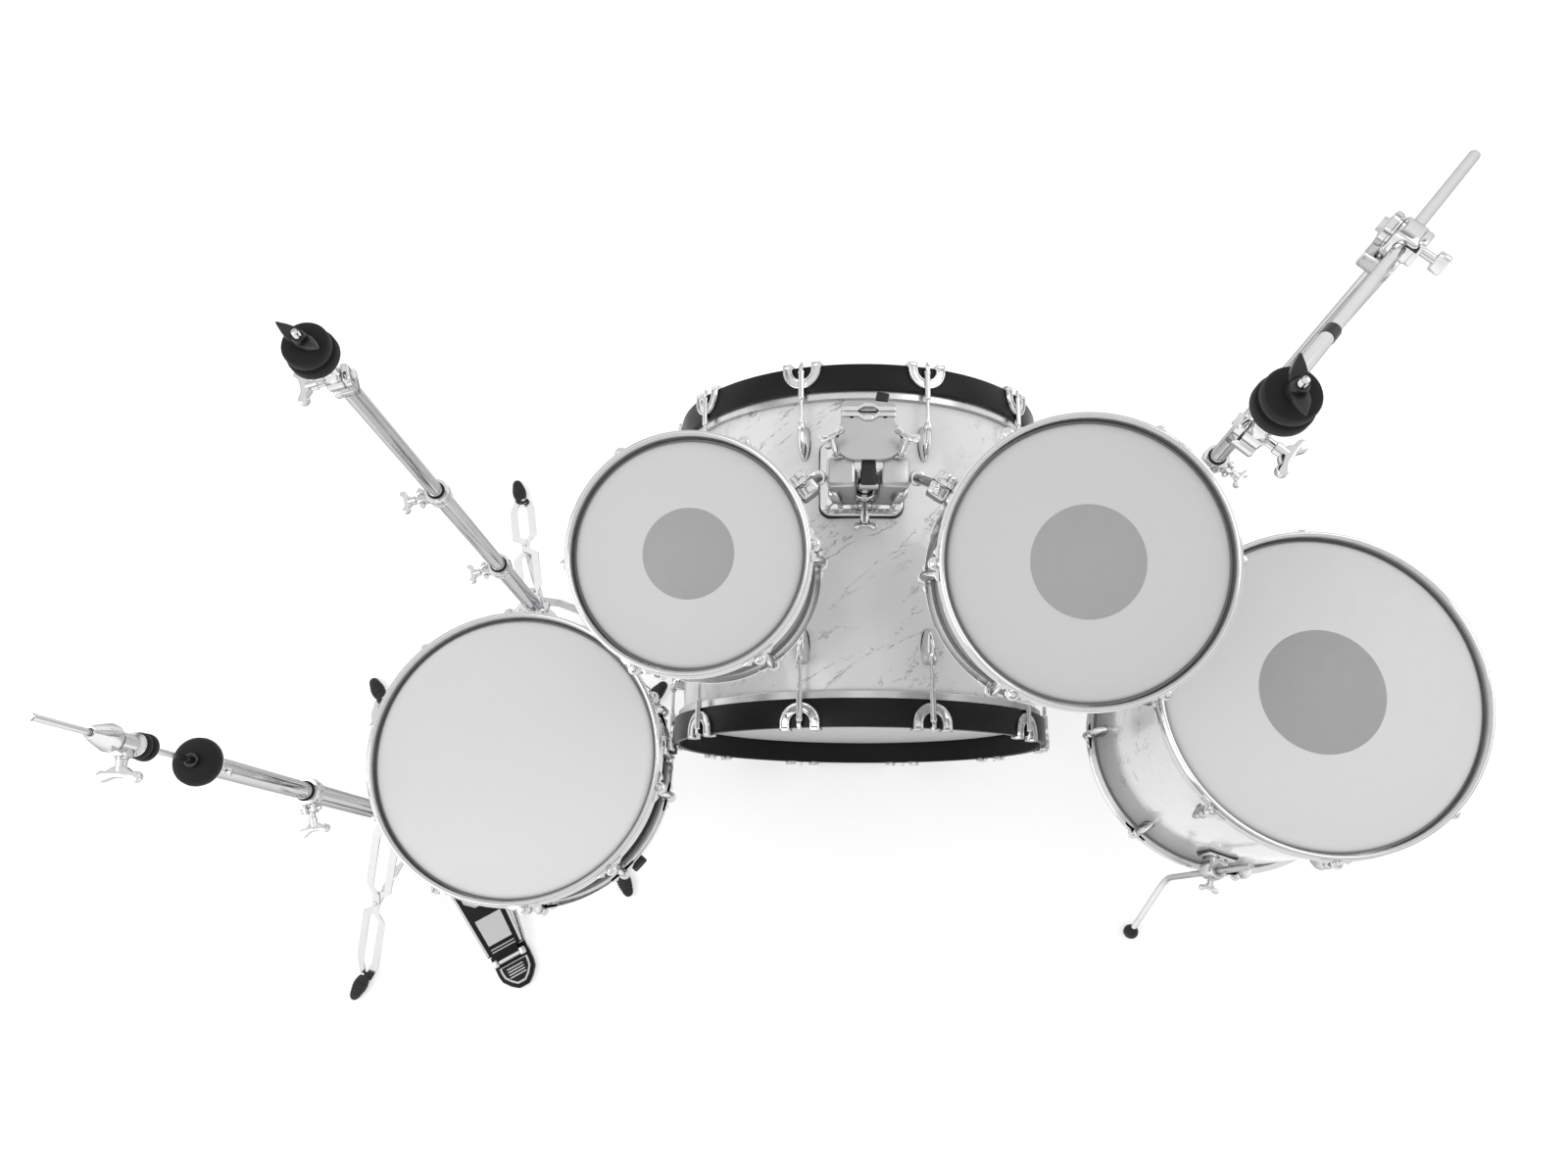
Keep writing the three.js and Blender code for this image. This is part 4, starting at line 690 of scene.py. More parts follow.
def build_spur(side, name):
    """A fold-out spur with its boss on the shell and a rubber foot on the floor."""
    matrix = bass_matrix()
    degrees = 90 - side * SPUR.angle
    shell = BASS.shell
    base = Vector(polar(shell - 2, degrees, -SPUR.along))
    top = Vector(polar(shell + SPUR.boss_height, degrees, -SPUR.along))
    boss = turned([(8, 0), (8, 4), (5, 6), (0, 7.5), (0, span(base, top) - 1), (-1.5, span(base, top))], 36,
        radius=SPUR.boss)
    placed(boss, between(base, top))
    outward = (top - base).normalized()
    along = Vector((0, 0, 1))
    across = outward.cross(along)
    bolts = [hex_bolt(base + outward * 3 + along * dz + across * dx, outward, 2.8, 4)
        for dz, dx in ((19, 0), (-19, 0), (0, 19), (0, -19))]
    assemble(f"{name}_boss", [boss, *bolts], "kit_base", (), matrix)
    start_out = shell + SPUR.boss_height + GAP
    to_kit = in_millimetres(matrix)
    near = to_kit @ Vector(polar(start_out, degrees, -SPUR.along))
    far = to_kit @ Vector(polar(start_out + SPUR.length, degrees, -SPUR.along))
    start = (near + far) / 2
    tip = Vector((start.x + side * SPUR.spread, start.y + SPUR.forward, SPUR.foot))
    lean = (tip - start).normalized()
    tip.z = SPUR.foot * math.sqrt(1 - lean.z * lean.z) + 0.6
    lean = (tip - start).normalized()
    ankle = tip - lean * SPUR.foot_length
    length = span(near, far)
    knuckle = turned([(-1.5, 0), (0, 1), (0, 5), (-1.6, 6), (-1.6, 8), (0, 9), (0, length - 3), (-3, length)], 32,
        radius=SPUR.knuckle)
    placed(knuckle, between(near, far))
    nut = hex_bolt(far - (far - near).normalized(), far - near, 5, 4)
    leg = rod(start, ankle + lean * 4, SPUR.rod)
    foot_profile = [(7.5, 0), (9, 1.5), (9.4, 6), (8.6, 7), (8.6, 8.5), (10, 9.5), (10, 13), (9.2, 14), (9.2, 15.5),
        (10.6, 16.5), (10.6, 26), (9, 31), (6, 33.5), (4, 34)]
    foot = placed(turned(foot_profile, 28, RUBBER), between(ankle, tip))
    assemble(f"{name}_leg", [knuckle, nut, leg, foot], name, [name])


# Tom holder
HOLDER = Sizes(x=-5, y=344, width=118, length=112, round=16, post_x=-2, post_y=318, post_low=520, post=12.7,
    socket=19, socket_top=632, screw_z=618, shield_z=735, shield=9, pod_x=26, pod_lean=10, pod_y=300, pod_low=640,
    pod_tip=13, pod_top=24)


def rounded_box(half_x, half_y, radius):
    """The outline of a rectangle with round corners."""
    corners = [(1, 1, 0), (-1, 1, 90), (-1, -1, 180), (1, -1, 270)]
    return [point for x, y, start in corners for point in arc(x * (half_x - radius), y * (half_y - radius), radius,
        start, start + 90, BEND_STEPS)]


def build_mount_base():
    """The saddle plate on the bass drum with its gasket, pyramid, socket and clamp screws."""
    h = HOLDER
    tilt = BASS.tilt
    shell_top = BASS.outer * math.cos(math.radians(tilt)) + (BASS.shell + h.y * math.sin(math.radians(tilt)))
    seat = at(h.x, h.y, shell_top - 0.8) @ turn(tilt, "X")
    half_x, half_y, radius = h.width / 2, h.length / 2, h.round
    gasket = placed(plate(rounded_box(half_x + 1.6, half_y + 1.6, radius + 1.6), 9.5, RUBBER, bevel=0.8,
        segments=2), seat @ at(0, 0, -7))
    saddle = placed(plate(rounded_box(half_x, half_y, radius), 8, bevel=2.6, segments=3), seat @ at(0, 0, 1.5))
    pyramid = placed(slab((h.width - 16, h.length - 16, 20), bevel=3, segments=3, taper=(0.52, 0.55)),
        seat @ at(0, 0, 18))
    post_x, post_y = h.post_x, h.post_y
    base_z, top, screw_z = shell_top + 8, h.socket_top, h.screw_z
    face_y = post_y - h.socket
    socket = turned_ring([(13.2, base_z - 2), (h.socket + 3, base_z - 2), (h.socket + 3, base_z + 16),
        (h.socket, base_z + 19), (h.socket, top - 20), (h.socket + 1.6, top - 18), (h.socket + 1.6, top - 3),
        (h.socket - 0.6, top), (14.5, top), (13.2, top - 1.5)], 40)
    placed(socket, at(post_x, post_y, 0))
    screw = wing_screw((post_x, face_y + 2, screw_z), (0, -1, 0), 30, 4.5, 34, 14)
    lugs = [placed(slab((10, 14, 18), bevel=2), at(post_x + side * 14, face_y - 3, screw_z)) for side in (-1, 1)]
    cross = rod((post_x - 22, face_y - 5, screw_z), (post_x + 22, face_y - 5, screw_z), 3.2)
    uprights = [rod((x, 393, base_z - 6), (x, 396, h.shield_z - 26), 2.6, sides=12) for x in (-21, 24)]
    feet = [hex_bolt((h.x + sx * 49, h.y + sy * 46, base_z + sy * 2), (0, 0, 1), 4, 4.5) for sx in (-1, 1)
        for sy in (-1, 1)]
    assemble("tom_mount_saddle", [gasket, saddle, pyramid, socket, screw, lugs, cross, uprights, feet], "kit_base",
        ["tom_mount_base"])


def cut_holes(piece, tools):
    """Takes the tools out of the piece."""
    for tool in tools:
        change = piece.modifiers.new("hole", "BOOLEAN")
        change.operation = "DIFFERENCE"
        change.solver = "EXACT"
        change.object = tool
        select_only(piece)
        bpy.ops.object.modifier_apply(modifier=change.name)
        bpy.data.objects.remove(tool)
    return piece


def build_holder():
    """The sliding holder: post, faceted pods, bridge, shield with its clamp strip, and two wing screws."""
    h = HOLDER
    x0, z0 = h.post_x, h.shield_z
    right = [(36, 392), (36, 368), (37.5, 362), (42, 356), (49, 351), (53, 346), (53, 340), (50, 333), (40, 323),
        (28, 315), (20, 313)]
    top_edge = [(24, 394.5), (10, 396), (-10, 396), (-24, 394.5)]
    outline = [*reversed(right), *top_edge, *[(-x, y) for x, y in right]]
    shield = placed(plate(outline, h.shield, SATIN, bevel=1.6, segments=3), at(x0, 0, z0))
    holes = [rod((x0 + side * 22, 374, z0 + 1), (x0 + side * 22, 374, z0 + 14), 3.4, RUBBER, chamfer=0.1)
        for side in (-1, 1)]
    cut_holes(shield, holes)
    plugs = [rod((x0 + side * 22, 374, z0 + 0.5), (x0 + side * 22, 374, z0 + 4), 3.3, RUBBER, chamfer=0.2)
        for side in (-1, 1)]
    strip_z = z0 + h.shield
    half_wave = [(-36, 387.5), (-14, 387.5), (-5, 393), (5, 393), (14, 387.5), (36, 387.5), (36, 380.5),
        (14, 380.5), (6, 386), (-6, 386), (-14, 380.5), (-36, 380.5)]
    strip = placed(plate(half_wave, 6.5, bevel=1.4, segments=2), at(x0, -1, strip_z - 0.5))
    lower_wave = [(x, 2 * 379.5 - y) for x, y in half_wave][::-1]
    low_strip = placed(plate(lower_wave, 3.5, bevel=1.2, segments=2), at(x0, 1.2, strip_z - 0.5))
    # Painted shade: a thin black strip stands in for the shade in the slot between the clamp strips.
    slot_painted_shade = placed(slab((70, 2.2, 2.4), RUBBER, bevel=0.4), at(x0, 379.6, strip_z + 0.2))
    boss = placed(slab((13, 9, 5), bevel=2, segments=3), at(x0, 371.5, strip_z + 1))
    lever = placed(slab((17, 13, 9), MOULDING, bevel=2, segments=3), at(x0 + 19, 403, z0 + 2) @ turn(-14, "Z"))
    lever_wire = rod((x0 + 8, 390, z0 + 3), (x0 + 34, 389, z0 + 3), 1.3, STEEL, chamfer=0.3, sides=10)
    post = turned([(9.5, h.post_low), (h.post, h.post_low + 2), (h.post, z0 - 16), (15.5, z0 - 14), (15.5, z0 - 4),
        (13, z0 + 1)], 40)
    placed(post, at(x0, h.post_y, 0))
    window = placed(slab((21, 34, 12), MOULDING, bevel=3), at(x0, 297, z0 - 3))
    window_frame = placed(slab((26, 6, 10), SATIN, bevel=2), at(x0, 280, z0 - 4))
    bridge = placed(slab((72, 30, 34), bevel=5, segments=3), at(x0, h.pod_y + 15, z0 - 15))
    pods = []
    for side in (-1, 1):
        foot = (x0 + side * h.pod_x, h.pod_y, h.pod_low)
        head = (x0 + side * (h.pod_x + h.pod_lean), h.pod_y, z0 + 3)
        length = span(foot, head)
        pod = slab((43, 40, length), SATIN, bevel=7, segments=3, taper=(0.72, 0.7))
        pods.append(placed(pod, between(foot, head) @ at(0, 0, length / 2 - 1) @ turn(180, "X")))
        pods.append(placed(slab((13, 30, 34), bevel=2.5), at(foot[0] + side * 17, h.pod_y - 12, 696)
            @ turn(side * 14, "Y")))
        pods.append(hex_bolt((foot[0] + side * 9, h.pod_y - 22, 668), (0, -1, 0), 4, 6))
    screws = flat(*[wing_screw((x0 + side * 41.6, 323, z0 + 4), (side, 2, 4), 26, 4.5, 36, 14) for side in (-1, 1)])
    assemble("tom_holder_body", [shield, plugs, strip, low_strip, slot_painted_shade, boss, lever, lever_wire, post, window,
        window_frame, bridge, pods, screws], "tom_holder", ["tom_holder"])


BRACKET = Sizes(drop=108, width=44, height=52, reach=16)
CLAMP = Sizes(depth=24, width=32, height=36)
BRACKET_ANGLES = {"small_tom": 38, "large_tom": 147}
BALL = Sizes(z=710, radius=10)


def build_tom_arm(name, side):
    """A tom's bracket on its shell, and the arm with its ball, clamp block and screws."""
    drum = DRUMS[name]
    matrix = drum_matrix(drum)
    degrees, radius = BRACKET_ANGLES[name], drum.shell
    here = turn(degrees, "Z") @ at(radius, 0, -BRACKET.drop)
    gasket = placed(slab((3, BRACKET.width + 3, BRACKET.height + 3), RUBBER, bevel=1.2), here @ at(GAP, 0, 0))
    back = placed(slab((5, BRACKET.width, BRACKET.height), bevel=1.8), here @ at(3.2, 0, 0))
    nose = placed(slab((12, 30, 40), bevel=3.2, segments=3), here @ at(10, 0, 0))
    bolts = screw_heads([(4.4, 0), (4.4, 2), (3, 3.4)], 16, here, [(5, y, z) for y in (-17, 17) for z in (-20, 20)])
    assemble(f"{name}_bracket", [gasket, back, nose, bolts], drum.body, (), matrix)
    middle_out = BRACKET.reach + GAP + CLAMP.depth - CLAMP.depth / 2
    h = HOLDER
    share = (BALL.z - h.pod_low) / (h.shield_z + 3 - h.pod_low)
    pod_side = h.pod_x + h.pod_tip + share * (h.pod_lean + h.pod_top - h.pod_tip)
    centre = Vector((h.post_x + side * (pod_side + GAP + BALL.radius), h.pod_y, BALL.z))
    to_kit = in_millimetres(matrix)
    clamp_here = matrix @ here @ at(middle_out, 0, 0)
    clamp_centre = to_kit @ (in_millimetres(here) @ Vector((middle_out, 0, 0)))
    clamp = placed(slab((CLAMP.depth, CLAMP.width, CLAMP.height), bevel=3.4, segments=3), clamp_here)
    # Painted shade: a thin black sheet through the clamp stands in for the shade in its split.
    split = placed(slab((CLAMP.depth + 0.6, 1.6, CLAMP.height + 0.6), RUBBER, bevel=0.3), clamp_here)
    nuts = [placed(slab((10, 9, 8), bevel=1.6), clamp_here @ at(1, y, z) @ turn(8, "X"))
        for y, z in ((10, 19.5), (-10, 19.5))]
    wing = moved(wing_screw((0, 0, CLAMP.height / 2 - 1), (0, 0, 1), 12, 3.5, 26, 11, 5), clamp_here)
    arm = rod(centre, clamp_centre, 6.35)
    direction = (clamp_centre - centre).normalized()
    stop = placed(turned([(8, 0), (9.6, 1), (9.6, 9), (8, 10)], 24), between(clamp_centre - direction * 30,
        clamp_centre - direction * 20))
    knob = ball(centre, BALL.radius, sides=28, rings=12)
    cup = placed(turned([(8.5, 0), (10.4, 1), (10.4, 5), (8, 6)], 28), between(centre + direction * 6,
        centre + direction * 12))
    assemble(f"{name}_arm_rod", [clamp, split, nuts, wing, arm, stop, knob, cup], drum.body,
        [f"{name}_arm"])


# Floor tom legs
LEG = Sizes(angles={"rear": -108, "right": 12, "front": 132}, radius=4.8, stand_off=24, top=560, elbow=155,
    splay=90, bracket_z=400, foot=24)


def build_floor_tom_legs():
    """Three bent legs with rubber feet, in wedge brackets on the shell."""
    x0, y0 = FLOOR_TOM_CENTRE
    shell = DRUMS["floor_tom"].shell
    straight = shell + LEG.stand_off
    brackets = []
    for place, degrees in LEG.angles.items():
        here = at(x0, y0, LEG.bracket_z) @ turn(degrees, "Z") @ at(shell, 0, 0)
        gasket = placed(slab((3.4, 42, 66), RUBBER, bevel=1.5), here)
        back = placed(slab((5, 38, 62), bevel=2), here @ at(3.4, 0, 0))
        block = placed(slab((30, 30, 46), bevel=5, segments=3, taper=(0.92, 0.8)), here @ at(19, 0, 0))
        collar = placed(turned_ring([(5.6, -28), (9.4, -28), (10.4, -26), (10.4, 26), (9.4, 28), (5.6, 28)], 24),
            here @ at(LEG.stand_off, 0, 0))
        bolts = screw_heads([(4.2, 0), (4.2, 1.6), (3, 3)], 16, here, [(5.6, 0, z) for z in (-26, 26)])
        screw = moved(wing_screw((31, 0, 0), (1, 0, 0), 12, 3.5, 28, 12), here)
        brackets += [gasket, back, block, collar, *bolts, *screw]
        points = [polar(straight, degrees, LEG.top), polar(straight, degrees, LEG.elbow),
            polar(straight + LEG.splay, degrees, LEG.foot / 2)]
        points = [(x + x0, y + y0, z) for x, y, z in points]
        steel = bent_rod(points, LEG.radius, 30)
        top_x, top_y, _ = points[0]
        cap = rod((top_x, top_y, LEG.top - 1), (top_x, top_y, LEG.top + 1.2), 4.6, chamfer=0.8)
        foot = turned([(7.5, 0), (9.4, 0.8), (11.4, 4), (12.3, 9), (12.3, 14), (11, 19), (8.2, 22.6), (6.2, 24)],
            28, RUBBER)
        placed(foot, at(points[2][0], points[2][1], 0))
        assemble(f"floor_tom_bent_leg_{place}", [steel, cap, foot], f"floor_tom_leg_{place}",
            [f"floor_tom_leg_{place}"])
    assemble("floor_tom_leg_brackets", brackets, "kit_base")


# Snare fittings and stand
STRAINER = Sizes(angle=6.5, width=24, height=64, reach=15, z=-70)


def build_strainer():
    """Throw-off, its lever, the butt plate opposite, and the snare wires under the bottom head."""
    drum = DRUMS["snare"]
    matrix = drum_matrix(drum)
    s = STRAINER
    radius = drum.shell
    here = turn(s.angle, "Z") @ at(radius, 0, s.z)
    base = placed(slab((6, s.width + 8, s.height + 4), bevel=1.6), here @ at(2.4, 0, 0))
    block = placed(slab((12, s.width, s.height), bevel=3, segments=3), here @ at(9, 0, 0))
    knob = placed(turned([(5, 0), (6, 1), (6, 9), (5, 10)], 18), here @ at(9, 0, s.height / 2 - 1))
    clamp = placed(slab((9, 30, 16), bevel=1.6), here @ at(10, 0, -s.height / 2 - 5))
    head = [(3.2, 0), (3.2, 2.4), (2, 3.2)]
    screws = screw_heads(head, 12, here, [(14, y, -s.height / 2 - 5) for y in (-9, 9)])
    there = turn(s.angle + 180, "Z") @ at(radius, 0, s.z - 24)
    butt = placed(slab((11, 34, 30), bevel=3, segments=3), there @ at(5, 0, 0))
    butt_bar = placed(slab((6, 30, 10), bevel=1.4), there @ at(11, 0, -8))
    butt_screws = screw_heads(head, 12, there, [(13.6, y, -8) for y in (-9, 9)])
    assemble("snare_strainer", [base, block, knob, clamp, screws, butt, butt_bar, butt_screws], "snare_drum",
        (), matrix)
    lever_x = s.reach + GAP + 3.5
    top_z = s.height / 2
    handle = placed(slab((6.4, 12, 60), bevel=2.4, segments=3, taper=(1, 0.75)),
        here @ at(lever_x, 0, top_z - 30.5))
    grip = placed(slab((7.4, 13, 22), RUBBER, bevel=2.4, segments=3), here @ at(lever_x, 0, top_z - 49))
    pin = placed(turned([(2.4, -8), (3, -7.4), (3, 7.4), (2.4, 8)], 16), here @ at(lever_x, 0, top_z - 3)
        @ turn(90, "X"))
    assemble("snare_lever_handle", [handle, grip, pin], "throw_off_lever", ["snare_throw_off_lever"],
        matrix)

    bottom = -drum.depth - 2 * HEAD_GAP - GAP
    half = radius - 26
    wire_count, width = 20, 44
    wire = turned([(0.55, -half + 10), (0.8, -half + 12)] + [(0.8, z) for z in (-60, 0, 60)] + [(0.8, half - 12),
        (0.55, half - 10)], 6, STEEL)
    strands = copies(wire, [at(0, -width / 2 + width * i / (wire_count - 1), bottom - 0.9) @ turn(90, "Y")
        for i in range(wire_count)])
    ends = [placed(slab((16, width + 4, 1.5), STEEL, bevel=0.4), at(side * (half - 8), 0, bottom - 0.8))
        for side in (-1, 1)]
    assemble("snare_wire_set", [*strands, *ends], "snare_drum", ["snare_wires"],
        matrix @ turn(s.angle, "Z"))


TUBE = Sizes(large=12.7, middle=11.1, small=9.5, wall=1.2, overlap=90)
COLLAR = Sizes(height=26, wall=5)


def tube(radius, low_z, high_z):
    """An open steel tube with rounded mouths."""
    inner = radius - TUBE.wall
    return turned_ring([(inner, low_z + 0.4), (inner + 0.4, low_z), (radius - 0.4, low_z), (radius, low_z + 0.4),
        (radius, high_z - 0.4), (radius - 0.4, high_z), (inner + 0.4, high_z), (inner, high_z - 0.4)], 32)


def tube_collar(radius, inner, top, degrees, screw=(20, 4, 30, 13)):
    """The clamp at a tube's mouth: two beads, split ears with a bolt, a nylon sleeve and a wing screw."""
    outer = radius + COLLAR.wall
    low_z = top - COLLAR.height
    body = turned_ring([(inner + 1.4, low_z), (radius + 1.6, low_z), (radius + 3.6, low_z + 1.5),
        (radius + 3.6, low_z + 5.5), (radius + 2.4, low_z + 7), (radius + 2.4, top - 12), (outer, top - 10.5),
        (outer, top - 2), (outer - 1.6, top), (inner + 1.4, top)], 32)
    sleeve = turned_ring([(0.3, -8), (1.8, -8), (1.8, 1), (0.9, 1.4), (0.3, 1)], 32, MOULDING, radius=inner, z=top)
    ears = [placed(slab((13, 5, 15), bevel=1.6), turn(degrees, "Z") @ at(outer + 3.5, y, top - 11))
        for y in (-5.2, 5.2)]
    cross = placed(turned([(2.4, -13), (3.2, -12.4), (3.2, 12.4), (2.4, 13)], 16),
        turn(degrees, "Z") @ at(outer + 5.5, 0, top - 11) @ turn(90, "X"))
    wing = moved(wing_screw((outer - 1, 0, top - COLLAR.height / 2), (1, 0, 0), *screw), turn(degrees, "Z"))
    return [body, sleeve, *ears, cross, *wing]


STRIP = Sizes(width=13, spread=16, start=14, cross_start=0.42, cross_end=0.56)
FOOT = Sizes(length=50, back=34, radius=13)
SIDEWAYS = Vector((0, 1, 0))


def zigzag_strip(length, side):
    """One of the two flat strips of a leg, which cross over at the leg's knee."""
    half, spread = STRIP.width / 2, STRIP.spread
    knee_start, knee_end = STRIP.cross_start * length, STRIP.cross_end * length
    line = [(-6, spread * 0.5), (length * 0.09, spread), (knee_start - 12, spread), (knee_start + 6, 3),
        (knee_end - 6, -3), (knee_end + 12, -spread), (length * 0.9, -spread), (length + 4, -spread * 0.35)]
    line = [(x, y * side) for x, y in line]
    normals = []
    for i, _ in enumerate(line):
        before, after = Vector(line[max(i - 1, 0)]), Vector(line[min(i + 1, len(line) - 1)])
        along = (after - before).normalized()
        normals.append(Vector((-along.y, along.x)))
    left = [(x + n.x * half, y + n.y * half) for (x, y), n in zip(line, normals)]
    right = [(x - n.x * half, y - n.y * half) for (x, y), n in zip(line, normals)]
    return plate([*right, *reversed(left)], 2.6, bevel=0.5)


def rubber_boot():
    """A ribbed rubber boot along Z, from its neck to its rounded toe."""
    ribs = []
    for i, wide in enumerate((11.6, 12.7, 13.0, 12.4, 11.3, 10.0)):
        z = 12 + i * 5
        ribs += [(wide - 0.9, z), (wide, z + 0.9), (wide, z + 3.2), (wide - 0.9, z + 4.1)]
    return turned([(6.2, 0), (7.4, 1), (8.2, 6), (10.4, 11), *ribs, (8.8, 44), (6.6, 48), (3.4, 50.5)], 24, RUBBER)


def tripod_pieces(stand):
    """Hubs, crossed strips, braces, rivets and boots of a tripod."""
    pieces = []
    for degrees in stand.legs:
        leg_turn = turn(degrees, "Z")
        start = Vector((STRIP.start, 0, stand.hub))
        end = Vector((stand.reach - FOOT.back, 0, FOOT.radius))
        along = (end - start).normalized()
        length = (end - start).length
        here = leg_turn @ at(*start) @ axes(along, SIDEWAYS, along.cross(SIDEWAYS))
        for side, lift in ((1, 0.1), (-1, 2.9)):
            pieces.append(placed(zigzag_strip(length, side), here @ at(0, 0, lift)))
        knee = (STRIP.cross_start + STRIP.cross_end) / 2 * length
        for x, y, base in ((knee, 0, 5.4), (6, 6, 2.6), (6, -6, 5.4), (length - 2, 4, 2.6), (length - 2, -4, 5.4)):
            pieces.append(placed(turned([(4.2, 0), (4.2, 0.8), (3.2, 2.0), (1.6, 2.5)], 14), here @ at(x, y, base)))
        brace_start = Vector((17, 0, stand.low_hub))
        brace_line = start + along * knee - brace_start
        brace_along = brace_line.normalized()
        brace = plate([(0, -6), (brace_line.length, -6), *arc(brace_line.length, 0, 6, -90, 90, 6), (0, 6)], 2.6)
        brace_axes = axes(brace_along, SIDEWAYS, brace_along.cross(SIDEWAYS))
        pieces.append(placed(brace, leg_turn @ at(*brace_start) @ brace_axes @ at(0, 0, -3)))
        toe = Vector((stand.reach - FOOT.back + FOOT.length, 0, FOOT.radius * 0.62))
        pieces.append(placed(rubber_boot(), leg_turn @ between(end - along * 3, toe) @ stretch(1, 0.78, 1)))
        for z, reach in ((stand.hub, 20), (stand.low_hub, 19)):
            pieces.append(placed(slab((16, 17, 15), bevel=2.4), leg_turn @ at(reach, 0, z - 2)))
            pin = turned([(2.6, -11), (3.4, -10.4), (3.4, 10.4), (2.6, 11)], 16)
            pieces.append(placed(pin, leg_turn @ at(reach + 3, 0, z) @ turn(90, "X")))
    bore = stand.bore
    for z, half in ((stand.hub, 13), (stand.low_hub, 11)):
        pieces.append(turned_ring([(bore, z - half), (16.5, z - half), (17.5, z - half + 1.2), (17.5, z - 5),
            (19.6, z - 4), (19.6, z + 4), (17.5, z + 5), (17.5, z + half - 1.2), (16.5, z + half),
            (bore, z + half)], 32))
    return pieces


STANDS = {
    "snare_stand": Sizes(x=-478, y=-20, legs=(52.5, -67.5, 172.5), reach=209, hub=205, low_hub=104, bore=11.9),
    "hi_hat": Sizes(x=-714.5, y=-116, legs=(122, -118, 2), reach=312, hub=340, low_hub=190, bore=13.0),
    "left_stand": Sizes(x=-546, y=246, legs=(108, 228, 348), reach=306, hub=236, low_hub=120, bore=11.9),
    "boom_stand": Sizes(x=485.6, y=358.9, legs=(2, 110, 225), reach=320, hub=262, low_hub=130, bore=11.9),
}


def stand_at(name):
    return at(STANDS[name].x, STANDS[name].y, 0)


def plug(radius, z):
    """The rubber stop at the foot of a tube."""
    return turned([(-3, 0), (-0.4, 2), (0.6, 4), (0.6, 12), (-1, 14)], 28, RUBBER, radius=radius, z=z)


def build_stand_base(name, low_top, angle):
    """A stand's tripod with its lower tube, the tube's rubber stop and its collar."""
    base = [tripod_pieces(STANDS[name]), tube(TUBE.large, FOOT.radius + 12, low_top), plug(TUBE.large, FOOT.radius),
        tube_collar(TUBE.large, TUBE.middle, low_top, angle)]
    assemble(f"{name}_legs", base, "kit_base", [f"{name}_tripod"], stand_at(name))


# Cymbal tilter: the hinge is along X
TILTER = Sizes(knuckle=11, half=8.5, ear=8, ear_length=20, ear_below=24, ear_foot=12, stem=3.6, stem_height=104,
    cup=15, felt_base=50, felt=23, felt_height=14, groove=2, shift=5, nut_turn=dict(left_stand=-47,
    boom_stand=130.4))


def tilter_ear():
    """The ear that holds the tilter's knuckle, with a plain round disc on its face."""
    t = TILTER
    outer = t.half + GAP + t.ear
    ear = placed(slab((t.ear, t.ear_length, 35), bevel=2.6, segments=3), at(-outer + t.ear / 2, 0, -6.5))
    disc = placed(turned([(9, 0), (11, 1), (11, 7), (9, 8)], 28), at(-outer, 0, 0) @ turn(90, "Y"))
    foot = placed(slab((outer + t.half, t.ear_length, t.ear_foot), bevel=2.6, segments=3),
        at(-outer + (outer + t.half) / 2, 0, -t.ear_below + t.ear_foot / 2))
    bolt = hex_bolt((-outer + 0.5, 0, 0), (-1, 0, 0), 6, 5)
    return moved((ear, disc, foot, bolt), at(t.shift, 0, 0))


def felt_disc(inner, outer, low_z, high_z):
    """A thick felt washer with soft edges."""
    soft = min(3.4, (high_z - low_z) * 0.3)
    return turned_ring([(inner, low_z + 1), (inner + 1, low_z), (outer - soft, low_z),
        (outer - soft * 0.35, low_z + soft * 0.3), (outer, low_z + soft), (outer, high_z - soft),
        (outer - soft * 0.35, high_z - soft * 0.3), (outer - soft, high_z), (inner + 2, high_z),
        (inner, high_z - 1.4)], 48, FELT)


def wing_nut():
    """A moulded wing nut: a tapered barrel and two blades that sweep up to their tips."""
    t = TILTER
    low_z = t.felt_base + 2 * t.felt_height + t.groove + 0.6
    barrel = turned_ring([(3.9, 0), (8, 0), (8.6, 1.2), (7.6, 6), (6.8, 13), (6.0, 14.6), (3.9, 14.6)], 28,
        MOULDING, z=low_z)
    leaf = [(3, -5), (8, -7), (14, -6.6), (20, -4.6), (28.5, -0.6), (28.5, 0.6), (20, 4.6), (14, 6.6), (8, 7),
        (3, 5)]
    blades = copies(placed(plate(leaf, 5, MOULDING, bevel=1.7, segments=3), at(0, 0, low_z + 2) @ turn(-27, "Y")),
        [turn(0, "Z"), turn(180, "Z")])
    return [barrel, *blades]


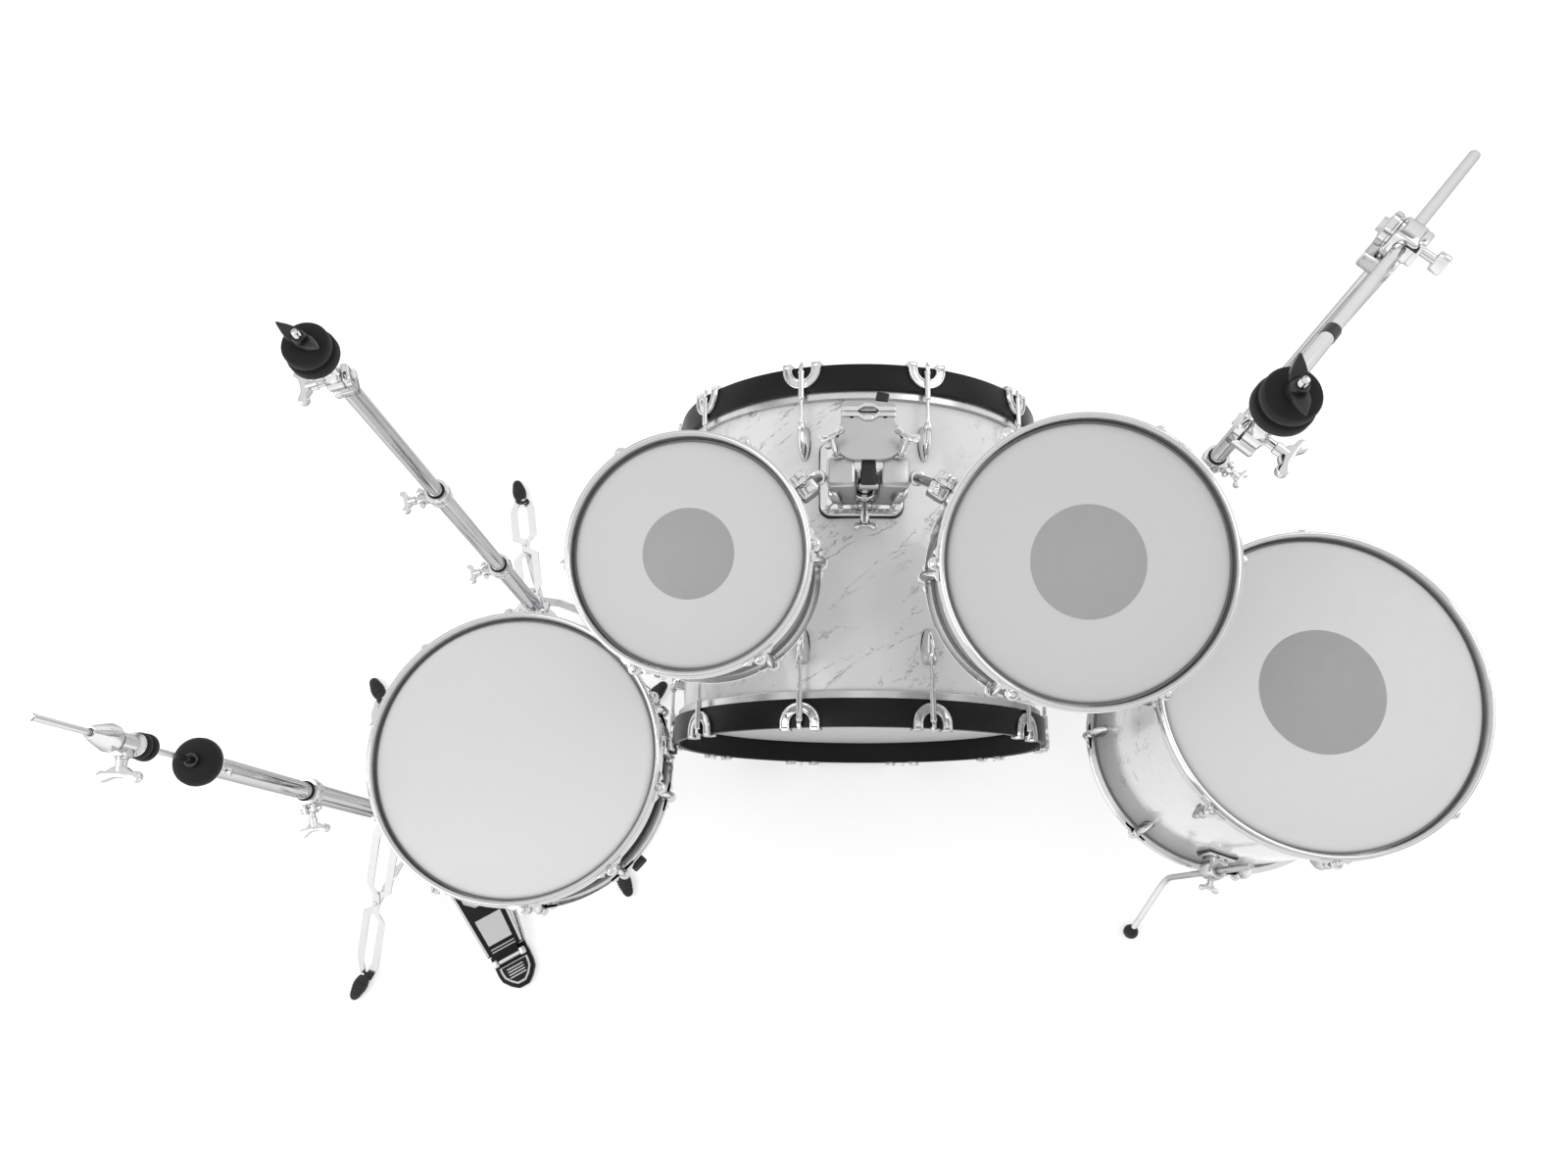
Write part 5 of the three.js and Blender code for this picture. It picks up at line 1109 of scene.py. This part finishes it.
def build_tilter(prefix, frame_here, bodies):
    """Tilter, felts and wing nut in the frame whose X is the hinge."""
    t = TILTER
    half = t.half
    knuckle = placed(turned([(9, -half), (t.knuckle, -half + 1.4), (t.knuckle, half - 1.4), (9, half)], 32),
        turn(90, "Y"))
    neck = turned([(8.4, 4), (8.4, 13), (6, 17), (4.8, 19), (4.8, 36), (6, 38), (8, 45)], 28)
    thread = [(3.15 if i % 2 else t.stem, 81 + i * 1.1) for i in range(20)]
    stem = turned([(3.2, 10), (t.stem, 12), (t.stem, 80), *thread, (3.2, 103.2), (2.0, t.stem_height)], 20)
    cup = turned([(5, 43), (9, 44.6), (14.2, 48), (t.cup, 49.2), (14.6, 50)], 36)
    frame_here = frame_here @ at(t.shift, 0, 0)
    screw = wing_screw((half - 2, 0, 0), (1, 0, 0), 18, 4, 38, 15, 8)
    assemble(f"{prefix}_stem", [knuckle, neck, stem, cup, *screw], bodies[0], [f"{prefix}_tilter"],
        frame_here)
    base = t.felt_base + GAP
    high_low = base + t.felt_height
    lower = felt_disc(3.9, t.felt + 1.8, base, high_low)
    upper = felt_disc(3.9, t.felt, high_low + t.groove, high_low + t.groove + t.felt_height)
    sleeve = turned_ring([(3.9, -2), (7, -2), (7, 4), (3.9, 4)], 24, MOULDING, z=high_low)
    assemble(f"{prefix}_felt_pair", [lower, upper, sleeve], bodies[0], [f"{prefix}_felts"], frame_here)
    nut = moved(wing_nut(), turn(t.nut_turn[prefix], "Z"))
    assemble(f"{prefix}_moulded_nut", nut, bodies[1], [f"{prefix}_wing_nut"], frame_here)


def build_left_stand():
    """The straight cymbal stand."""
    here = stand_at("left_stand")
    angle = 196
    low_top, middle_top, top_top, pivot = 478, 806, 1112, 1137
    build_stand_base("left_stand", low_top, angle)
    assemble("left_stand_middle_post", [tube(TUBE.middle, low_top - TUBE.overlap, middle_top),
        tube_collar(TUBE.middle, TUBE.small, middle_top, angle)], "left_stand_middle",
        ["left_stand_middle_tube"], here)
    hinge = at(0, 0, pivot) @ turn(angle, "Z")
    ear = moved(tilter_ear(), hinge)
    assemble("left_stand_top_post", [tube(TUBE.small, middle_top - TUBE.overlap, top_top + 3), ear],
        "left_stand_top", ["left_stand_top_tube"], here)
    build_tilter("left_stand", here @ hinge, ("left_stand_tilter", "left_stand_wing_nut"))


BOOM = Sizes(low_top=640, middle_top=1172, pivot=1204, angle=-40.4, pitch=20, front=337, rear=191, arm=6,
    sleeve=7.2, sleeve_length=125)


def build_boom_stand():
    """The boom cymbal stand: tripod, post, ratchet clamp, and the arm with its tilter."""
    here = stand_at("boom_stand")
    b = BOOM
    build_stand_base("boom_stand", b.low_top, b.angle)
    turned_head = turn(b.angle, "Z")
    ear_x = -13 - GAP - 10
    block = placed(slab((-ear_x + TUBE.middle, 2 * TUBE.middle + 3, 24), bevel=3, segments=3),
        turned_head @ at((ear_x + TUBE.middle) / 2, 0, b.middle_top - 11))
    post = placed(slab((10, 2 * TUBE.middle, 36), bevel=2.4, segments=3), turned_head
        @ at(ear_x + 5, 0, b.middle_top + 12))
    disc = placed(turned([(15, 0), (18, 1.4), (18, 7), (16.6, 8), (16.6, 10)], 40),
        turned_head @ at(ear_x, 0, b.pivot) @ turn(90, "Y"))
    bolt = placed(hex_bolt((ear_x + 0.4, 0, b.pivot), (-1, 0, 0), 8, 6), turned_head)
    assemble("boom_stand_post", [tube(TUBE.middle, b.low_top - TUBE.overlap, b.middle_top - 3), block, post, disc,
        bolt], "boom_stand_middle", ["boom_stand_middle_tube"], here)
    head = here @ at(0, 0, b.pivot) @ turned_head
    pitched = head @ turn(-b.pitch, "X")
    body = slab((26, 36, 26), bevel=4, segments=3)
    drill = rod((0, -40, 0), (0, 40, 0), b.arm + 0.4, chamfer=0.1, sides=24)
    cut_holes(body, [drill])
    face = placed(turned([(14, 0), (16, 1.2), (16, 4), (14, 5)], 36), at(-13, 0, 0) @ turn(90, "Y"))
    cap = placed(slab((9, 24, 30), bevel=2.6, segments=3), at(14, 0, 0))
    # Painted shade: a thin black sheet stands in for the shade in the clamp's slit above the bore.
    split = placed(slab((12, 38, 1.6), RUBBER, bevel=0.3), at(9, 0, 7))
    screw = [rod((16, 0, 0), (34, 0, 0), 4.6), placed(slab((13, 8, 22), bevel=2.6, segments=3), at(38, 0, 0))]
    assemble("boom_stand_arm_clamp", [body, face, cap, split, *screw], "boom_clamp", ["boom_stand_clamp"],
        pitched)
    tip = Vector((0, -b.front, 0))
    back = turn(b.pitch, "X")
    ear = moved(tilter_ear(), at(*tip) @ back)
    elbow = tip + Vector((0, TILTER.ear_below + TILTER.ear_foot, 0))
    ear_foot = tip + back.to_3x3() @ Vector((0, 0, TILTER.ear_foot / 2 - TILTER.ear_below))
    sleeve_end = elbow + Vector((0, b.sleeve_length, 0))
    arm = bent_rod([(0, b.rear, 0), tuple(elbow), tuple(ear_foot)], b.arm, 9)
    sleeve = rod(sleeve_end, elbow + Vector((0, 8, 0)), b.sleeve)
    band = rod(sleeve_end + Vector((0, -12, 0)), sleeve_end + Vector((0, 4, 0)), b.sleeve + 0.5, MOULDING,
        chamfer=0.6)
    assemble("boom_stand_arm_rod", [arm, sleeve, band, ear], "boom_arm", ["boom_stand_arm"], pitched)
    build_tilter("boom_stand", pitched @ at(*tip) @ back, ("boom_tilter", "boom_wing_nut"))


BASKET_ARMS = (176, 68, -41)


def build_snare_stand():
    """Snare stand: tripod, height tube with its ratchet joint, and the basket with rubber grips."""
    low_top, upper_top, basket_z = 300, 432, 462
    build_stand_base("snare_stand", low_top, -30)
    x, y = STANDS["snare_stand"].x, STANDS["snare_stand"].y
    drum = DRUMS["snare"]
    centre = Vector((*drum.place[:2], basket_z))
    ear_at = Vector((centre.x - 13 - GAP - 6, centre.y, centre.z))
    post = placed(tube(TUBE.middle, low_top - TUBE.overlap, upper_top), at(x, y, 0))
    joint = placed(turned([(10.6, -11), (12.7, -9), (12.7, 7), (10, 10)], 32, z=upper_top), at(x, y, 0))
    link = rod((x, y, upper_top), ear_at, 6)
    disc = rod(ear_at + Vector((-6, 0, 0)), ear_at + Vector((6, 0, 0)), 10, chamfer=1.4, sides=32)
    screw = wing_screw(ear_at + Vector((-5, 0, 0)), (-1, 0, 0), 16, 4, 28, 12)
    assemble("snare_stand_post", [post, joint, link, disc, *screw], "snare_stand_tube",
        ["snare_stand_tube"])
    hoop_bottom = drum.place[2] - drum.depth - 2 * HEAD_GAP - 12
    lip = drum.hoop + 6.3
    barrel = rod(centre + Vector((-13, 0, 0)), centre + Vector((13, 0, 0)), 15, chamfer=1.6, sides=40)
    nut = rod(centre + Vector((0, 0, 2)), centre + Vector((0, 0, 34)), 11, chamfer=2, sides=32)
    knob = placed(turned([(9, 0), (17, 1.4), (18, 4), (18, 12), (16, 14)], 24, MOULDING),
        at(centre.x, centre.y, centre.z + 18))
    pieces = [barrel, nut, knob]
    outer = lip + 9
    base_length = outer - drum.hoop + 14
    base_x, base_z = outer - base_length / 2, hoop_bottom - GAP - 5.5
    for degrees in BASKET_ARMS:
        arm = bent_rod([(0, 0, centre.z + 13), (18, 0, centre.z + 17), (base_x - 26, 0, base_z - 2),
            (base_x + 6, 0, base_z)], 5.2, 10)
        grip = placed(slab((base_length, 20, 11), RUBBER, bevel=2.6, segments=3), at(base_x, 0, base_z))
        hook = placed(slab((9, 20, 31), RUBBER, bevel=2.8, segments=3), at(lip + 4.5, 0, base_z + 10))
        ribs = [placed(slab((10, 21, 2.4), RUBBER, bevel=0.9), at(lip + 4.6, 0, base_z + 4 + 6 * i))
            for i in range(3)]
        socket = rod((outer - base_length - 14, 0, base_z), (outer - base_length + 4, 0, base_z), 6.6, chamfer=1.2)
        pieces += moved((arm, grip, hook, *ribs, socket), at(centre.x, centre.y, 0) @ turn(degrees, "Z"))
    assemble("snare_stand_basket", pieces, "snare_drum", ["snare_basket"])


# Hi-hat stand
HAT = Sizes(bottom=152, low_top=694, upper_top=976, upper_low=600, felt=25.5, rod_top=1272, clutch=1074,
    clutch_length=112)
PEDAL = Sizes(angle=-61, toe=-34, hinge=246, heel=300, toe_width=92, hinge_width=66, thickness=6, hinge_rise=24,
    toe_rise=92, bridge=132, upright=10)


def build_hi_hat():
    """Hi-hat stand: tripod, tubes, seat, pull rod and clutch."""
    here = stand_at("hi_hat")
    h = HAT
    assemble("hi_hat_legs", [tripod_pieces(STANDS["hi_hat"])], "kit_base", ["hi_hat_tripod"], here)
    assemble("hi_hat_base_tube", [tube(TUBE.large, h.bottom, h.low_top), tube_collar(TUBE.large, TUBE.middle,
        h.low_top, -75, (24, 4, 38, 15))], "kit_base", ["hi_hat_lower_tube"], here)
    bore = TUBE.middle - TUBE.wall
    top = h.upper_top
    cup = turned_ring([(bore, -12), (11.9, -12), (13.2, -9), (18, -3), (24.5, -1.6), (25, -0.6), (24.5, 0),
        (bore, 0)], 48, z=top)
    tilt_screw = [rod((14, -4, top - 7), (27, -8, top - 8), 2.4, sides=14), rod((25, -7.4, top - 8),
        (31, -9.2, top - 8.4), 4, sides=14)]
    assemble("hi_hat_height_tube", [tube(TUBE.middle, h.upper_low, top), cup, *tilt_screw], "hi_hat_upper_tube",
        ["hi_hat_upper_tube"], here)
    low_z = top + GAP
    seat = turned_ring([(3.7, 0), (h.felt - 3, 0), (h.felt - 1, 1), (h.felt, 4), (h.felt - 0.6, 9),
        (h.felt - 3.4, 12.4), (h.felt - 9, 14), (12, 15), (3.7, 15)], 48, FELT, z=low_z)
    bush = turned_ring([(3.7, 12), (7.4, 12), (7.4, 20), (6.4, 21), (5.2, 21), (4.9, 19), (3.7, 19)], 28, MOULDING,
        z=low_z)
    assemble("hi_hat_seat_washer", [seat, bush], "hi_hat_upper_tube", ["hi_hat_seat_felt"], here)

    slope = math.atan2(PEDAL.toe_rise - PEDAL.hinge_rise, PEDAL.hinge - PEDAL.toe)
    link_low = (PEDAL.hinge_rise + PEDAL.hinge * math.tan(slope) + PEDAL.thickness / 2 / math.cos(slope)
        + 5 * math.tan(slope) + GAP)
    pull = turned([(2.4, link_low + 8), (3, link_low + 9), (3, 1268), (3.6, 1268.4), (3.6, h.rod_top - 1),
        (2.6, h.rod_top)], 20)
    link = placed(slab((10, 10, 16), STEEL, bevel=1.6), at(0, 0, link_low + 8) @ turn(PEDAL.angle, "Z"))
    nut = turned([(5, 16), (5.6, 17), (5.6, 24), (4.4, 25)], 6, z=link_low)
    assemble("hi_hat_pull_rod_steel", [pull, link, nut], "hi_hat_rod", ["hi_hat_pull_rod"], here)
    c = h.clutch
    high = h.clutch_length
    core = turned_ring([(3.3, 0), (6.4, 0), (7.6, 1), (7.6, 5), (10, 6), (11, 8), (10.4, 9.6), (6.6, 10), (6.6, 31),
        (9, 31.6), (11.6, 33), (11.6, 36), (8.4, 38), (8.4, 66), (10, 68), (13, 76), (13.2, 80), (9, 99),
        (5.6, high), (4.6, high), (3.3, high - 1)], 36, z=c)
    felts = [felt_disc(6.8, 13.4, c + 10.2, c + 20), felt_disc(6.8, 12.8, c + 21, c + 30.6)]
    clamp = placed(slab((13, 10, 20), bevel=2.4), at(0, -9.5, c + 52))
    wing = wing_screw((0, -13, c + 52), (0, -1, 0), 10, 3.8, 42, 15, 8)
    assemble("hi_hat_clutch_body", [core, clamp, *wing, *felts], "hi_hat_rod", ["hi_hat_clutch"], here)
    build_pedal(here, slope)


def build_pedal(here, slope):
    """Footboard with side rails and grip plates, heel plate, hinge, and the frame under the tube."""
    p = PEDAL
    side_on = here @ turn(p.angle, "Z")
    length = (p.hinge - p.toe) / math.cos(slope)
    along = Vector((-math.cos(slope), 0, math.sin(slope)))
    up = Vector((math.sin(slope), 0, math.cos(slope)))
    board_at = at(p.hinge, 0, p.hinge_rise) @ axes(along, -SIDEWAYS, up)
    narrow, wide = p.hinge_width / 2, p.toe_width / 2
    tongue = 0.6 * narrow
    half = [(0, tongue), (0.045 * length, tongue), (0.055 * length, narrow), (0.42 * length, narrow + 5.4),
        (0.8 * length, wide), (0.9 * length, 0.96 * wide), (0.96 * length, 0.78 * wide), (length, 0.46 * wide)]
    outline = [*[(x, -y) for x, y in half], *reversed(half)]
    board = placed(plate(outline, p.thickness - 1.6, LACQUER, bevel=0.8, segments=2), board_at @ at(0, 0, -3))
    rails = []
    for side in (-1, 1):
        edge = [(0.06 * length, narrow), (0.42 * length, narrow + 5.4), (0.8 * length, wide),
            (0.9 * length, 0.96 * wide)]
        rail = [*edge, *[(x, y - 4.2) for x, y in reversed(edge)]]
        rail = [(x, y * side) for x, y in rail]
        rails.append(placed(plate(rail, 4.6, bevel=0.8, segments=2), board_at @ at(0, 0, -2.2)))
    window = [(0.115 * length, -22), (0.285 * length, -24), (0.285 * length, 24), (0.115 * length, 22)]
    panel = placed(plate(window, 1.4, PALE, bevel=0.4), board_at @ at(0, 0, 1.2))
    upper = [(0.36 * length, -12), (0.41 * length, -27), (0.86 * length, -31), (0.93 * length, -18),
        (0.93 * length, 18), (0.86 * length, 31), (0.41 * length, 27), (0.36 * length, 12)]
    top_panel = placed(plate(upper, 1.4, PALE, bevel=0.4), board_at @ at(0, 0, 1.2))
    ribs = copies(slab((2.4, 46, 1.6), LACQUER, bevel=0.5), [board_at @ at((0.50 + 0.055 * i) * length, 0, 2.9)
        for i in range(8)])
    bars = copies(slab((1.8, 44, 1.4), PALE, bevel=0.4), [board_at @ at((0.07 + 0.018 * i) * length, 0, 1.9)
        for i in range(2)])
    pin = rod((p.hinge, -tongue, p.hinge_rise), (p.hinge, tongue, p.hinge_rise), 4, STEEL)
    assemble("hi_hat_foot_plate", [board, *rails, panel, top_panel, *ribs, *bars, pin], "hi_hat_footboard",
        ["hi_hat_footboard"], side_on)

    hinge, heel_end = p.hinge, p.heel
    half_width = p.hinge_width / 2
    tip = [(heel_end - 34, half_width), (heel_end - 22, half_width * 0.93), (heel_end - 9, half_width * 0.62),
        (heel_end, half_width * 0.28)]
    outline = [(hinge - 15, -half_width), *[(x, -y) for x, y in tip], *reversed(tip), (hinge - 15, half_width)]
    heel = plate(outline, 13, LACQUER, bevel=1.6, segments=2)
    inner = [(hinge + 8 + (x - hinge - 8) * 0.84, y * 0.8) for x, y in outline[1:-1]]
    inner = [(hinge + 9, -half_width * 0.8), *inner, (hinge + 9, half_width * 0.8)]
    border = placed(plate(inner, 1.2, PALE, bevel=0.4), at(0, 0, 12.4))
    core_outline = [(hinge + 11 + (x - hinge - 9) * 0.86, y * 0.86) for x, y in inner]
    core = placed(plate(core_outline, 1.0, LACQUER, bevel=0.3), at(-0.4, 0, 13.1))
    grips = copies(slab((2.2, 30, 1.4), PALE, bevel=0.4), [at(hinge + 17 + 5 * i, 0, 14.2) for i in range(4)])
    ear_width = 0.3 * half_width
    ear_y = tongue + GAP + ear_width / 2
    ears = [placed(slab((13, ear_width, 31), bevel=2.4, segments=3), at(hinge, side * ear_y, 16))
        for side in (-1, 1)]
    top = HAT.bottom - GAP
    bridge = placed(slab((p.bridge * 0.26, p.bridge, 16), bevel=3, segments=3), at(0, 0, top - 8))
    hole = rod((0, 0, top - 40), (0, 0, top + 10), 3.7, chamfer=0.1)
    cut_holes(bridge, [hole])
    upright_y = (p.bridge - p.upright) / 2
    uprights = [placed(slab((20, p.upright, top - 2), bevel=2.2, segments=2), at(0, side * upright_y, top / 2))
        for side in (-1, 1)]
    rail_rods = [rod((0, side * upright_y, 7), (hinge, side * (half_width - 4), 7), 4) for side in (-1, 1)]
    assemble("hi_hat_pedal_frame", [heel, border, core, *grips, *ears, bridge, *uprights, *rail_rods], "kit_base",
        ["hi_hat_pedal_base"], side_on)


for drum_name, drum_spec in DRUMS.items():
    build_drum(drum_name, drum_spec)
build_bass()
build_spur(1, "bass_spur_right")
build_spur(-1, "bass_spur_left")
build_mount_base()
build_holder()
build_tom_arm("small_tom", -1)
build_tom_arm("large_tom", 1)
build_floor_tom_legs()
build_strainer()
build_snare_stand()
build_left_stand()
build_boom_stand()
build_hi_hat()


# Floor, light and background
FLOOR_GLOW = 0.42
FLOOR_SIZE = 14
FLOOR_DROP = 0.0004
SKY_STOPS = [(0.0, 0.9), (0.48, 1.0), (0.64, 1.0), (0.7, 0.3), (0.75, 0.3), (0.82, 0.8), (1.0, 0.9)]


def white_floor():
    material, principled = shader("white_floor", (0.82, 0.82, 0.82), 0.9)
    nodes, links = material.node_tree.nodes, material.node_tree.links
    rays = nodes.new("ShaderNodeLightPath").outputs
    seen = combined(material, "MAXIMUM", rays["Is Camera Ray"], rays["Is Glossy Ray"])
    seen = combined(material, "MAXIMUM", seen, rays["Is Transmission Ray"])
    glow = nodes.new("ShaderNodeEmission")
    glow.inputs["Color"].default_value = (1, 1, 1, 1)
    glow.inputs["Strength"].default_value = FLOOR_GLOW
    both = nodes.new("ShaderNodeAddShader")
    links.new(principled.outputs["BSDF"], both.inputs[0])
    links.new(glow.outputs["Emission"], both.inputs[1])
    choice = nodes.new("ShaderNodeMixShader")
    links.new(seen, choice.inputs["Fac"])
    links.new(principled.outputs["BSDF"], choice.inputs[1])
    links.new(both.outputs["Shader"], choice.inputs[2])
    links.new(choice.outputs["Shader"], nodes["Material Output"].inputs["Surface"])
    return material


bpy.ops.object.select_all(action="DESELECT")
bpy.ops.mesh.primitive_plane_add(size=FLOOR_SIZE)
floor = bpy.context.object
floor.name = "floor"
floor.location = (0, 0, -FLOOR_DROP)
floor.data.materials.append(white_floor())


def area_lamp(name, place, size, power):
    bpy.ops.object.light_add(type="AREA", location=place)
    lamp = bpy.context.object
    lamp.name = name
    lamp.data.size = size
    lamp.data.energy = power
    lamp.visible_camera = False
    aim = Vector((0, 0, 0.5)) - Vector(place)
    lamp.rotation_euler = aim.to_track_quat("-Z", "Y").to_euler()


area_lamp("soft_box_left", (-2.6, -1.0, 3.4), 2.6, 38)
area_lamp("soft_box_right", (2.8, 1.2, 3.2), 2.2, 26)

world = bpy.data.worlds.new("studio")
bpy.context.scene.world = world
world.use_nodes = True
nodes, links = world.node_tree.nodes, world.node_tree.links
direction = nodes.new("ShaderNodeTexCoord")
split = nodes.new("ShaderNodeSeparateXYZ")
height = nodes.new("ShaderNodeMapRange")
height.inputs["From Min"].default_value = -1
height.inputs["From Max"].default_value = 1
sky = nodes.new("ShaderNodeValToRGB")
set_stops(sky.color_ramp, SKY_STOPS)
links.new(direction.outputs["Generated"], split.inputs[0])
links.new(split.outputs["Z"], height.inputs["Value"])
links.new(height.outputs["Result"], sky.inputs["Fac"])
links.new(sky.outputs["Color"], nodes["Background"].inputs["Color"])
nodes["Background"].inputs["Strength"].default_value = 1.0
bpy.context.scene.view_settings.view_transform = "Standard"
